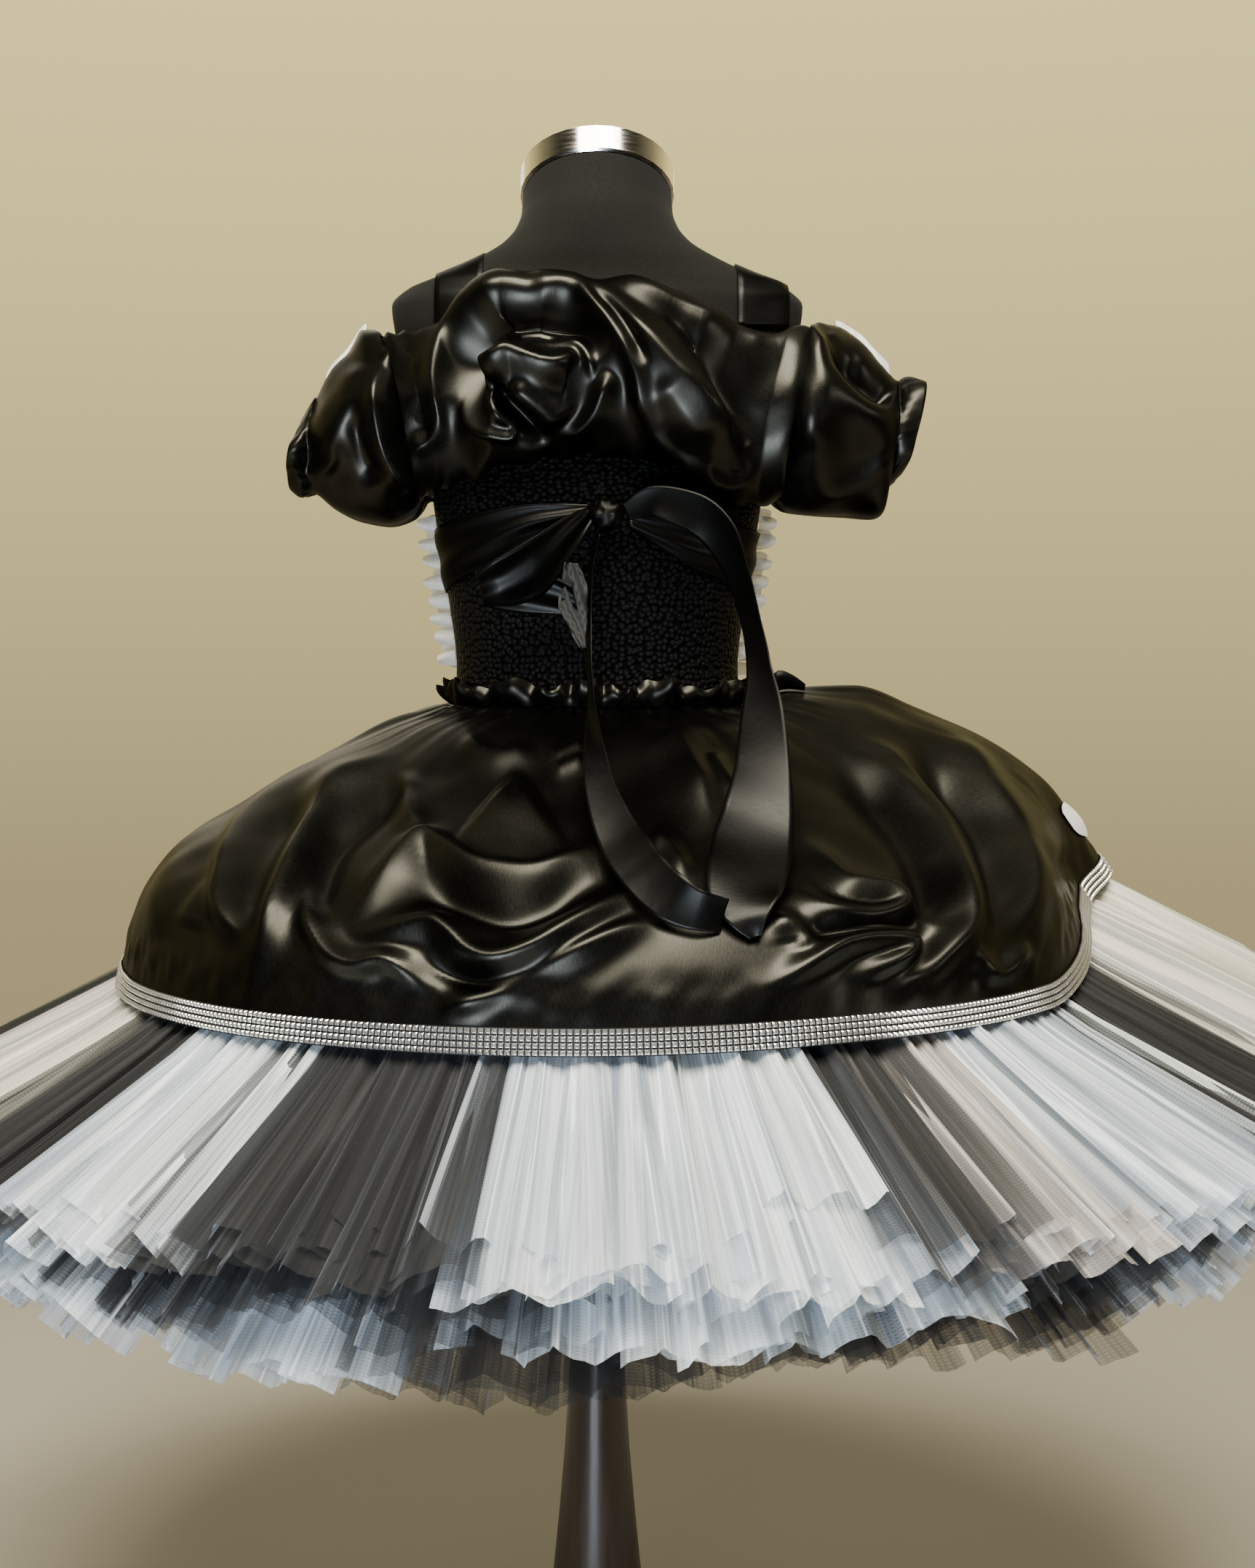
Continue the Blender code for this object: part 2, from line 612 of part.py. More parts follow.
def skirt_grid():
    """Outer points of the overskirt. The last two rows are the edges of the hem band."""
    shares = [i / (SKIRT_ROWS - 1) * 0.93 for i in range(SKIRT_ROWS)] + [1.0]
    columns = []
    for count, first, last in (SKIRT_BACK, SKIRT_FRONT):
        columns += [first + (last - first) * i / count for i in range(count)]
    grid = np.array([[skirt_rest(a, s) for a in columns] for s in shares])
    out = normals(grid, True)
    if out[len(shares) // 2, SKIRT_BACK[0] // 2, 1] < 0:
        out = -out
    for r, share in enumerate(shares):
        held = math.sin(math.pi * min(0.5, 1.6 * share)) * math.sin(math.pi * min(0.5, 0.08 + 2.4 * (1 - share)))
        for c, azimuth in enumerate(columns):
            lift = front_waves(azimuth, share)
            if math.cos(math.radians(azimuth)) > -0.05:
                lift += relief(grid[r, c], SKIRT_FOLDS)
            grid[r, c] = grid[r, c] + out[r, c] * lift * held
    for c, azimuth in enumerate(columns):
        band = grid[-1, c] - grid[-2, c]
        grid[-2, c] = grid[-1, c] - band / np.linalg.norm(band) * HEM_BAND
    return grid


def make_overskirt(collection):
    """Gathered satin overskirt, its ruffled heading and the stone trim on its hem."""
    grid = skirt_grid()
    overskirt = cloth(collection, "overskirt", grid, SATIN, "black_satin", around=True, inside=(0, 0, 0.45))
    trim = moved_out(grid, SEAM_GAP + SATIN, True, (0, 0, 0.45))[-2:]
    cloth(collection, "hem_trim", trim, SATIN, "silver_stones", around=True, inside=(0, 0, 0.45))

    columns = 4 * HEADING_WAVES
    rows = []
    for r, height in enumerate((SKIRT_TOP + 0.0010, SKIRT_TOP + 0.0130)):
        row = []
        for c in range(columns):
            azimuth = 360.0 * c / columns
            wave = math.sin(2 * math.pi * HEADING_WAVES * c / columns)
            row.append(body_point(azimuth, height, SKIRT_OUT + SATIN + 0.0050 * r + 0.0032 * r * wave))
        rows.append(row)
    cloth(collection, "overskirt_heading", np.array(rows), SATIN, "black_satin", around=True, inside=(0, 0, 0.68))
    return overskirt


def tulle_point(tier, azimuth, share, drift):
    """Middle of a tier of tulle: from the waist under the overskirt's hem and on to its cut end."""
    around = row_at(AROUND, wrapped(azimuth))
    waist = body_radius(azimuth, tier.start, TULLE_OUT)
    reach = around.hem_reach - waist
    drop = tier.start - (around.hem_height - UNDER_HEM)
    inner = math.hypot(reach, drop)
    length = tier.length + drift
    outer = length - inner
    fall = math.radians(around.fall)
    keys = [0.0, inner / length, 1.0]
    out = eased(keys, [0.0, reach, reach + outer * math.cos(fall)], share)
    down = eased(keys, [0.0, drop, drop + outer * math.sin(fall)], share)
    turn = math.radians(tier.steeper)
    radius = waist + out * math.cos(turn) - down * math.sin(turn)
    height = tier.start - out * math.sin(turn) - down * math.cos(turn)
    a = math.radians(azimuth)
    return np.array([radius * math.sin(a), radius * math.cos(a), height])


def make_tulle(collection):
    """Three tiers of knotted tulle, each in groups of black and white strips."""
    for tier in TIERS:
        starts = [g[1] for g in tier.groups]
        for i, (colour, start) in enumerate(tier.groups):
            end = starts[(i + 1) % len(starts)]
            span = (end - start) % 360.0
            waves = max(1, round(tier.waves * span / 360.0))
            columns = 4 * waves + 1
            grid = []
            for r in range(tier.rows):
                share = r / (tier.rows - 1)
                row = []
                for c in range(columns):
                    azimuth = start + span * c / (columns - 1)
                    drift = 0.008 * math.sin(2.1 * i + 1.7) + 0.005 * math.sin(0.19 * azimuth * 2.0 + 3 * i)
                    row.append(tulle_point(tier, azimuth, share, drift))
                grid.append(row)
            grid = np.array(grid)
            out = normals(grid, False)
            for c in range(columns):
                turn = 2 * math.pi * waves * c / (columns - 1)
                for r in range(tier.rows):
                    share = r / (tier.rows - 1)
                    grid[r, c] = grid[r, c] + out[r, c] * tier.depth * share * math.sin(turn)
            trimmed(grid, STRIP_GAP / 2)
            name = f"tulle_{tier.name}_{i + 1:02d}_{colour}"
            cloth(collection, name, grid, TULLE, f"{colour}_tulle", inside=(0, 0, 0.30), offset=0.0)


def trimmed(grid, gap):
    """Move the side edges of a group of strips in from its neighbours."""
    for edge, beside in ((0, 1), (-1, -2)):
        step = grid[:, beside] - grid[:, edge]
        grid[:, edge] += step / np.linalg.norm(step, axis=1, keepdims=True) * gap


def body_back(across, height, facing, out):
    """Depth of a layer out from the form at a point across it, at the back (facing 1) or the front (facing -1)."""
    section = row_at(BODY, height)
    inside = max(0.0, 1 - abs(across / (section.half_width + out)) ** section.squareness)
    return facing * section.centre + (section.half_depth + out) * inside ** (1 / section.squareness)


def armhole_shift(up, back):
    """How far out a point of the armhole lies for its height and depth from the armhole's middle."""
    return ARMHOLE_SLANT * up - ARMHOLE_BEND * abs(back)


def puff_grid(table, facing, columns, folds):
    """Outer points of a puffed piece across the back (facing 1) or the front (facing -1)."""
    first = table[0].across
    last = table[-1].across
    grid = []
    for r in range(PUFF_ROWS):
        row = []
        for c in range(columns):
            puff = row_at(table, first + (last - first) * (1 - math.cos(math.pi * c / (columns - 1))) / 2)
            angle = math.radians(puff.top_angle + (puff.bottom_angle - puff.top_angle) * r / (PUFF_ROWS - 1))
            middle = (puff.top + puff.bottom) / 2
            back = puff.reach - puff.depth + puff.depth * math.cos(angle)
            height = middle + (puff.top - puff.bottom) / 2 * math.sin(angle)
            near_end = max(0.0, 1 - (abs(last) - abs(puff.across)) / PUFF_END)
            side = 1 if puff.across > 0 else -1
            off = SEAT + PUFF_RISE * min(r, PUFF_ROWS - 1 - r)
            back = max(back, body_back(puff.across, height, facing, off))
            shift = near_end * armhole_shift(height - middle, facing * back - ARMHOLE_MIDDLE)
            across = puff.across + side * shift
            row.append((across, facing * max(back, body_back(across, height, facing, off)), height))
        grid.append(row)
    grid = np.array(grid)
    out = normals(grid, False)
    if out[PUFF_ROWS // 2, columns // 2, 1] * facing < 0:
        out = -out
    for r in range(PUFF_ROWS):
        held = math.sin(math.pi * r / (PUFF_ROWS - 1))
        for c in range(columns):
            lift = relief(grid[r, c], folds) if folds else 0.003 * math.sin(0.9 * c)
            ends = min(1.0, 5.0 * max(0, min(c, columns - 1 - c) - 1) / columns)
            grid[r, c] = grid[r, c] + out[r, c] * lift * held * ends
    return grid


def sleeve_point(table, side, share, angle):
    """Point of a puff sleeve: share of the way from armhole to ruffle, angle from the top towards the back."""
    barrel = row_along(table, share)
    a = math.radians(angle)
    half = (barrel.top - barrel.bottom) / 2
    up = half * math.cos(a)
    back = barrel.half_depth * math.sin(a)
    return np.array([
        side * (barrel.reach + armhole_shift(up, back) * (1 - share) ** 2),
        barrel.middle + back,
        (barrel.top + barrel.bottom) / 2 + up,
    ])


def sleeve_grid(table, side):
    """Points of a sleeve, with gathers at the armhole and cuff and waves in the ruffle."""
    grid = []
    for r in range(SLEEVE_ROWS):
        share = r / (SLEEVE_ROWS - 1)
        row = []
        for c in range(SLEEVE_SEGMENTS):
            angle = 360.0 * c / SLEEVE_SEGMENTS
            point = sleeve_point(table, side, share, angle)
            middle = sleeve_point(table, side, share, 0) + sleeve_point(table, side, share, 180)
            spoke = point - middle / 2
            ruffle = max(0.0, (share - 0.80) / 0.20)
            soft = math.sin(math.pi * share) * 0.035 * math.sin(math.radians(5 * angle + 40))
            wave = soft + 0.12 * ruffle * math.sin(math.radians(CUFF_WAVES * angle))
            row.append(point + spoke * wave)
        grid.append(row)
    return np.array(grid)


def make_shoulders(collection):
    """Puffed satin across back and front, the sleeves, the straps and the white strips above the sleeves."""
    back = puff_grid(BERTHA_BACK, 1, 28, BERTHA_FOLDS)
    cloth(collection, "bertha_back", back, SATIN, "black_satin", inside=(0, 0.02, 0.86))
    front = puff_grid(BERTHA_FRONT, -1, 15, None)
    cloth(collection, "bertha_front", front, SATIN, "black_satin", inside=(0, -0.02, 0.86))

    for name, side, table in (("left", 1, SLEEVE_LEFT), ("right", -1, SLEEVE_RIGHT)):
        grid = sleeve_grid(table, side)
        inside = (side * 0.155, 0, 0.85)
        cloth(collection, f"sleeve_{name}", grid, SATIN, "black_satin", around=True, inside=inside)
        sleeve = surface_of(bpy.data.objects[f"sleeve_{name}"])
        edging = []
        for lean, off in ((-38, 0.0016), (-20, 0.0023), (-7, 0.0052)):
            row = []
            for i in range(7):
                share = 0.30 + 0.38 * i / 6
                point = sleeve_point(table, side, share, lean)
                middle = (sleeve_point(table, side, share, 0) + sleeve_point(table, side, share, 180)) / 2
                aim = Vector(middle - point).normalized()
                hit = sleeve.ray_cast(Vector(point) - aim * 0.05, aim)[0]
                row.append(np.array(hit - aim * off))
            edging.append(row)
        cloth(collection, f"sleeve_edging_{name}", np.array(edging), RIBBON, "white_organza", offset=0.0)

    torso = surface_of(bpy.data.objects["form_torso"])
    for strap in STRAPS:
        rows = []
        for j in range(4):
            across = strap.near + (strap.far - strap.near) * j / 3
            row = []
            for i in range(STRAP_STEPS):
                lean = math.radians(STRAP_LEAN * (2 * i / (STRAP_STEPS - 1) - 1))
                aim = Vector((0, -math.sin(lean), -math.cos(lean)))
                hit = torso.ray_cast(Vector((across, *STRAP_PIVOT)) - aim * 0.3, aim)[0]
                row.append(np.array(hit - aim * strap.out))
            rows.append(row)
        cloth(collection, f"strap_{strap.name}", np.array(rows), RIBBON, "black_satin", inside=(0, 0, 0.88), offset=0.0)


def strand_grid(table, steps, upright=None):
    """Ribbon through points seen from behind, turned about its own length, or with its width along one direction."""
    grid = []
    for side in (-1, 0, 1):
        row = []
        for i in range(steps):
            share = i / (steps - 1)
            here = row_along(table, share)
            ahead = row_along(table, min(1.0, share + 0.02))
            behind = row_along(table, max(0.0, share - 0.02))
            middle = at_depth(here.across, here.up, here.depth)
            along = at_depth(ahead.across, ahead.up, ahead.depth) - at_depth(behind.across, behind.up, behind.depth)
            along = along / np.linalg.norm(along)
            back = np.array([0.0, 1.0, 0.0])
            flat = np.cross(back, along)
            flat = flat / np.linalg.norm(flat)
            deep = np.cross(along, flat)
            turn = math.radians(here.turn)
            wide = flat * math.cos(turn) + deep * math.sin(turn) if upright is None else np.array(upright)
            row.append(middle + 0.001 * side * here.half_width * wide)
        grid.append(row)
    return np.array(grid)


def kept_off(grid, skirt):
    """Ribbon points moved out to lie on the overskirt wherever they would be in it, as the eye behind sees them."""
    eye = Vector((0, EYE_REACH, WAIST_HEIGHT))
    for r in range(grid.shape[0]):
        for c in range(grid.shape[1]):
            aim = Vector(grid[r, c]) - eye
            hit, out, _, distance = skirt.ray_cast(eye, aim.normalized())
            if hit and distance < aim.length + RIBBON_OFF:
                grid[r, c] = np.array(hit + out * RIBBON_OFF)
    return grid


def make_ribbons(collection, overskirt):
    """Ribbon round the body, its knot, the bow's loops and the long loop that hangs on the skirt."""
    rows = []
    for edge in (-1, 0, 1):
        row = []
        for i in range(31):
            band = row_at(WAIST_RIBBON, WAIST_RIBBON[0].azimuth
                          + (WAIST_RIBBON[-1].azimuth - WAIST_RIBBON[0].azimuth) * i / 30)
            out = BODICE_OUT + band.out + RIBBON
            row.append(body_point(band.azimuth, band.height + edge * band.half_width, out))
        rows.append(row)
    cloth(collection, "waist_ribbon", np.array(rows), RIBBON, "black_satin", inside=(0, 0, 0.77))

    bpy.ops.mesh.primitive_uv_sphere_add(segments=12, ring_count=7, radius=1.0, location=KNOT_MIDDLE)
    knot = bpy.context.object
    knot.scale = KNOT_RADII
    bpy.ops.object.transform_apply(location=False, rotation=False, scale=True)
    knot.name = "ribbon_knot"
    knot.data.name = "ribbon_knot"
    knot.data.materials.append(material("black_satin"))
    smooth(knot.data)
    for other in knot.users_collection:
        other.objects.unlink(knot)
    collection.objects.link(knot)

    bow = strand_grid(BOW_LOOP, RIBBON_STEPS, upright=(0.25, 0.0, 0.97))
    cloth(collection, "bow_loop", bow, RIBBON, "black_satin", offset=0.0)
    skirt = surface_of(overskirt)
    for name, table in (("loop_right", LOOP_RIGHT), ("loop_left", LOOP_LEFT)):
        strand = kept_off(strand_grid(table, LONG_STEPS), skirt)
        cloth(collection, name, strand, RIBBON, "black_satin", offset=0.0)


def make_side_ruffles(collection):
    """White organza ruffles down both sides of the bodice."""
    steps = 4 * RUFFLE_WAVES + 1
    for name, side in (("left", 1), ("right", -1)):
        rows = []
        for out in (0.0, 1.0):
            row = []
            for i in range(steps):
                height = RUFFLE_TOP + (RUFFLE_BOTTOM - RUFFLE_TOP) * i / (steps - 1)
                azimuth = side * RUFFLE_AZIMUTH
                turn = 2 * math.pi * RUFFLE_WAVES * i / (steps - 1)
                point = body_point(azimuth, height, RUFFLE_OUT + RUFFLE_DEPTH * out * (1 - RUFFLE_LOBE * math.cos(turn)))
                swing = RUFFLE_SWING * (0.25 + 0.75 * out) * math.sin(turn)
                row.append(point + np.array([0, swing, 0]))
            rows.append(row)
        cloth(collection, f"side_ruffle_{name}", np.array(rows), RIBBON, "white_organza", offset=0.0)


def make_small_pieces(collection, overskirt):
    """Ribbon end that stands at the wearer's right of the waist, and the white piece on the skirt's right front."""
    skirt = surface_of(overskirt)
    foot = []
    tip = []
    for across, rise in ((-0.108, 0.003), (-0.117, 0.013), (-0.126, 0.009), (-0.134, 0.004)):
        hit = skirt.ray_cast(Vector((across, -0.012, 0.80)), Vector((0, 0, -1)))[0]
        foot.append(np.array(hit) + np.array([0, 0, 0.0012]))
        tip.append(foot[-1] + np.array([0, 0.004, rise]))
    cloth(collection, "ribbon_end", np.array([foot, tip]), RIBBON, "black_satin", offset=0.0)
    rows = []
    for j in range(3):
        row = []
        for i in range(6):
            azimuth = math.radians(-101.0 + 4.0 * j)
            height = 0.622 - 0.0065 * i
            aim = Vector((-math.sin(azimuth), -math.cos(azimuth), 0))
            hit = skirt.ray_cast(Vector((0, 0, height)) - aim * 0.6, aim)[0]
            row.append(np.array(hit - aim * (0.0021 + 0.0010 * j)))
        rows.append(row)
    cloth(collection, "skirt_edging", np.array(rows), RIBBON, "white_organza", offset=0.0)


def main():
    """Build the dress and its form in a cleared scene."""
    for thing in list(bpy.data.objects):
        bpy.data.objects.remove(thing)
    collection = bpy.data.collections.new("tutu_dress")
    bpy.context.scene.collection.children.link(collection)
    make_form(collection)
    make_bodice(collection)
    overskirt = make_overskirt(collection)
    make_tulle(collection)
    make_shoulders(collection)
    make_ribbons(collection, overskirt)
    make_side_ruffles(collection)
    make_small_pieces(collection, overskirt)


main()
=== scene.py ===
"""Looks of a child's tutu dress on a limbless dress form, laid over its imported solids.

Metres, +Z up, in the frame of the solids. The wearer's front faces -Y and the wearer's left is +X, so the
camera, which stands behind the dress, has the wearer's left on its left. Azimuths are in degrees about the
body's axis: 0 at the back, 90 at the wearer's left. Crests seen from behind are in millimetres on the plane
through the axis, across to the wearer's left and up from the waist, as the camera's eye sees them.
"""

import math
from collections import namedtuple

import bmesh
import bpy
import numpy as np
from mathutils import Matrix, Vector


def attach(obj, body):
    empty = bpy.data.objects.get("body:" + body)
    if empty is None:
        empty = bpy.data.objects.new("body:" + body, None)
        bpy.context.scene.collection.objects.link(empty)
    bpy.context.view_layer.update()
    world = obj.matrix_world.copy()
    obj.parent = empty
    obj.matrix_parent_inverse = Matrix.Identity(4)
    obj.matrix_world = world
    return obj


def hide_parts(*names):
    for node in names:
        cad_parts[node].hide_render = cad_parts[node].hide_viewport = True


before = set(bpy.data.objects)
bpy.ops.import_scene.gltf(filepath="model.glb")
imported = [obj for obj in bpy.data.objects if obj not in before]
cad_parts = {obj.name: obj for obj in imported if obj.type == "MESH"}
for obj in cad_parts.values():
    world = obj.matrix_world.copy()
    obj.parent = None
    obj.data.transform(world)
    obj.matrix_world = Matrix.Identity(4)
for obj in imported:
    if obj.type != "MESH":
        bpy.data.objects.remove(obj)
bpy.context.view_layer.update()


def rows_of(kind, rows):
    """Table of rows of one kind."""
    return [kind(*row) for row in rows]


# Driving sizes, as in the solids
WAIST_HEIGHT = 0.700
EYE_REACH = 1.367
BODICE_BOTTOM = 0.630
BODICE_TOP = 0.846
BODICE_OUT = 0.0031
SATIN = 0.0012
SKIRT_TOP = 0.675
SKIRT_OUT = BODICE_OUT + 0.0008
TULLE_OUT = BODICE_OUT + 0.0012
HEM_BAND = 0.014
UNDER_HEM = 0.0125
SEAT = BODICE_OUT + SATIN + 0.0014

Section = namedtuple("Section", "height centre half_width half_depth tilt squareness")
BODY = rows_of(Section, [
    (0.5300, 0.000, 0.0930, 0.0760, 0, 2.2),
    (0.5450, 0.000, 0.0995, 0.0820, 0, 2.2),
    (0.5850, 0.000, 0.1035, 0.0860, 0, 2.2),
    (0.6300, 0.000, 0.0990, 0.0810, 0, 2.2),
    (0.6700, 0.000, 0.0895, 0.0725, 0, 2.2),
    (0.7000, 0.000, 0.0865, 0.0695, 0, 2.2),
    (0.7400, 0.000, 0.0910, 0.0725, 0, 2.2),
    (0.7900, 0.000, 0.0990, 0.0770, 0, 2.3),
    (0.8300, 0.000, 0.1045, 0.0790, 0, 2.3),
    (0.8650, 0.001, 0.1100, 0.0760, 0, 2.3),
    (0.8930, 0.003, 0.1200, 0.0690, 0, 2.2),
    (0.9120, 0.004, 0.1280, 0.0610, 0, 2.1),
    (0.9260, 0.006, 0.1295, 0.0550, 0, 2.1),
    (0.9360, 0.008, 0.1200, 0.0500, 0, 2.0),
    (0.9440, 0.009, 0.0990, 0.0480, 2, 2.0),
    (0.9525, 0.010, 0.0780, 0.0475, 5, 2.0),
    (0.9610, 0.010, 0.0610, 0.0480, 9, 2.0),
    (0.9700, 0.009, 0.0520, 0.0485, 14, 2.0),
    (0.9810, 0.006, 0.0478, 0.0475, 20, 2.0),
    (0.9940, 0.0023, 0.0468, 0.0468, 25, 2.0),
])

Around = namedtuple("Around", "azimuth hem_reach hem_height lifted fall")
AROUND = rows_of(Around, [
    (-180, 0.312, 0.540, 0.5, 32),
    (-140, 0.317, 0.552, 0.7, 32),
    (-116, 0.338, 0.568, 1.0, 30),
    (-101, 0.350, 0.563, 1.0, 28),
    (-90, 0.318, 0.547, 0.9, 28),
    (-80, 0.310, 0.535, 0.6, 28),
    (-68, 0.310, 0.517, 0.2, 28),
    (-55, 0.311, 0.508, 0.0, 28),
    (-30, 0.313, 0.508, 0.0, 31),
    (0, 0.314, 0.506, 0.0, 32),
    (30, 0.311, 0.505, 0.0, 32),
    (60, 0.305, 0.504, 0.0, 29),
    (90, 0.301, 0.508, 0.0, 28),
    (115, 0.303, 0.525, 0.2, 30),
    (145, 0.306, 0.535, 0.4, 32),
    (180, 0.312, 0.540, 0.5, 32),
])

Dome = namedtuple("Dome", "share reach drop lifted_reach lifted_drop")
DOME = rows_of(Dome, [
    (0.00, 0.00, 0.00, 0.00, 0.00),
    (0.12, 0.17, 0.06, 0.14, -0.09),
    (0.28, 0.39, 0.22, 0.31, -0.08),
    (0.44, 0.61, 0.38, 0.48, 0.05),
    (0.60, 0.79, 0.51, 0.66, 0.22),
    (0.74, 0.915, 0.64, 0.81, 0.45),
    (0.88, 0.98, 0.81, 0.92, 0.77),
    (1.00, 1.00, 1.00, 1.00, 1.00),
])

# Crests, or troughs where the height is below zero: height, widths left and right of the way they run, points
Crest = namedtuple("Crest", "height left right points")
SKIRT_CRESTS = rows_of(Crest, [
    (9, 12, 17, [(286, -176), (284, -160), (279, -144), (265, -119), (238, -90), (203, -66), (161, -43),
        (120, -31)]),
    (5, 7, 9, [(268, -168), (264, -158), (256, -146), (244, -131)]),
    (12, 9, 15, [(216, -180), (228, -172), (238, -163), (243, -150), (240, -134), (233, -114), (219, -96),
        (192, -75), (161, -57), (124, -41)]),
    (13, 17, 8, [(222, -208), (214, -174), (203, -142), (191, -116), (173, -84), (150, -64), (124, -50)]),
    (9, 9, 7, [(192, -122), (187, -146), (184, -168), (173, -185), (157, -192), (138, -189), (124, -197),
        (113, -212)]),
    (8, 8, 9, [(104, -221), (92, -219), (78, -213), (48, -201), (17, -184), (-17, -168), (-40, -160)]),
    (14, 8, 12, [(164, -166), (149, -148), (131, -128), (112, -112), (95, -120), (79, -130), (58, -134),
        (37, -134), (16, -126), (-6, -116), (-30, -112)]),
    (12, 11, 8, [(164, -168), (141, -169), (110, -165), (97, -171), (83, -184), (66, -189), (41, -182),
        (16, -167), (-16, -147), (-40, -140)]),
    (6, 6, 8, [(87, -37), (78, -50), (66, -55), (52, -53), (40, -46)]),
    (5, 6, 6, [(32, -58), (18, -51), (6, -46)]),
    (4, 5, 5, [(30, -66), (18, -60), (6, -56)]),
    (10, 26, 26, [(70, -78), (54, -90), (36, -80)]),
    (5, 8, 10, [(120, -62), (122, -82), (113, -106)]),
    (11, 16, 13, [(-42, -26), (-52, -48), (-62, -70), (-78, -101)]),
    (7, 8, 9, [(-70, -52), (-80, -68), (-92, -86)]),
    (6, 7, 7, [(-32, -107), (-46, -114), (-60, -136)]),
    (10, 8, 10, [(-121, -98), (-142, -115), (-158, -136), (-174, -141), (-190, -144), (-198, -151),
        (-190, -158), (-173, -161), (-152, -157), (-133, -146), (-119, -131)]),
    (6, 8, 8, [(-106, -159), (-124, -164), (-135, -173), (-128, -182)]),
    (10, 9, 8, [(-100, -209), (-123, -200), (-142, -188), (-161, -177), (-180, -173), (-199, -174),
        (-204, -181), (-194, -189), (-178, -196), (-171, -208)]),
    (12, 10, 14, [(-176, -209), (-208, -196), (-230, -178), (-239, -162), (-235, -138), (-225, -112),
        (-208, -94), (-190, -73), (-167, -53), (-140, -32)]),
    (7, 7, 9, [(-236, -122), (-220, -98), (-204, -73), (-185, -56), (-156, -38)]),
    (7, 7, 8, [(-240, -170), (-247, -186), (-260, -198), (-272, -187), (-282, -174)]),
    (11, 10, 14, [(-274, -180), (-280, -158), (-280, -134), (-270, -103), (-251, -75), (-229, -46),
        (-190, -22)]),
    (8, 9, 12, [(-297, -132), (-293, -108), (-279, -82), (-255, -54)]),
    (-7, 10, 12, [(232, -180), (224, -150), (214, -126), (196, -100), (168, -78)]),
    (-8, 9, 9, [(176, -168), (180, -140), (168, -110), (140, -84), (118, -64)]),
    (-7, 9, 9, [(120, -146), (96, -146), (60, -158), (30, -150), (4, -134)]),
    (-6, 8, 8, [(120, -182), (98, -196), (66, -206), (40, -198), (10, -182)]),
    (-8, 10, 10, [(-210, -168), (-214, -144), (-202, -112), (-180, -84), (-150, -62)]),
    (-7, 7, 6, [(-122, -168), (-150, -168), (-180, -166), (-206, -166), (-214, -176), (-206, -190),
        (-186, -200)]),
    (-9, 9, 9, [(-262, -176), (-260, -140), (-246, -104), (-226, -76), (-196, -50)]),
    (-6, 8, 8, [(-104, -60), (-112, -100), (-116, -150)]),
])

BERTHA_CRESTS = rows_of(Crest, [
    (11, 6, 13, [(34, 243), (54, 243), (72, 236), (86, 224), (95, 206), (99, 187), (97, 167), (99, 148),
        (108, 140)]),
    (11, 13, 6, [(50, 244), (34, 243), (18, 238), (-2, 222), (-16, 205), (-25, 187), (-29, 168),
        (-36, 150), (-50, 140)]),
    (7, 3, 4, [(75, 192), (71, 182), (66, 168), (62, 160), (53, 153), (54, 146), (64, 146), (78, 152),
        (87, 166), (88, 188)]),
    (13, 4, 17, [(78, 190), (73, 193), (64, 198), (54, 202), (42, 197), (30, 194), (18, 197), (10, 192)]),
    (9, 13, 9, [(58, 182), (46, 172), (32, 160), (24, 150)]),
    (9, 5, 10, [(26, 146), (12, 151), (2, 162), (-4, 176), (-10, 190)]),
    (5, 4, 4, [(44, 212), (26, 209), (12, 206), (5, 194), (2, 178)]),
    (11, 8, 22, [(2, 237), (-14, 223), (-33, 208), (-49, 190), (-66, 174), (-80, 152), (-88, 128)]),
    (10, 18, 15, [(-36, 186), (-48, 172), (-60, 156), (-72, 138)]),
    (7, 6, 7, [(-26, 156), (-38, 146), (-52, 132), (-68, 120), (-82, 114), (-93, 121), (-94, 134)]),
    (6, 6, 8, [(8, 241), (-10, 244), (-33, 241), (-56, 232), (-75, 222), (-89, 213), (-100, 207),
        (-112, 211), (-128, 212)]),
    (6, 5, 6, [(122, 138), (110, 142), (101, 150), (99, 168)]),
    (5, 8, 8, [(112, 200), (114, 182), (112, 160)]),
    (-24, 8, 9, [(72, 154), (82, 172), (84, 192), (78, 210), (64, 224), (42, 229), (22, 226), (6, 212),
        (-4, 196)]),
    (-20, 14, 13, [(64, 214), (48, 218), (28, 216), (12, 204)]),
    (-19, 5, 6, [(73, 184), (66, 176), (55, 163), (46, 153), (38, 146), (28, 140)]),
    (-6, 4, 5, [(10, 240), (-9, 226), (-24, 206), (-33, 190)]),
    (-13, 12, 9, [(-19, 240), (-47, 230), (-66, 212), (-80, 188), (-89, 162), (-97, 140)]),
])

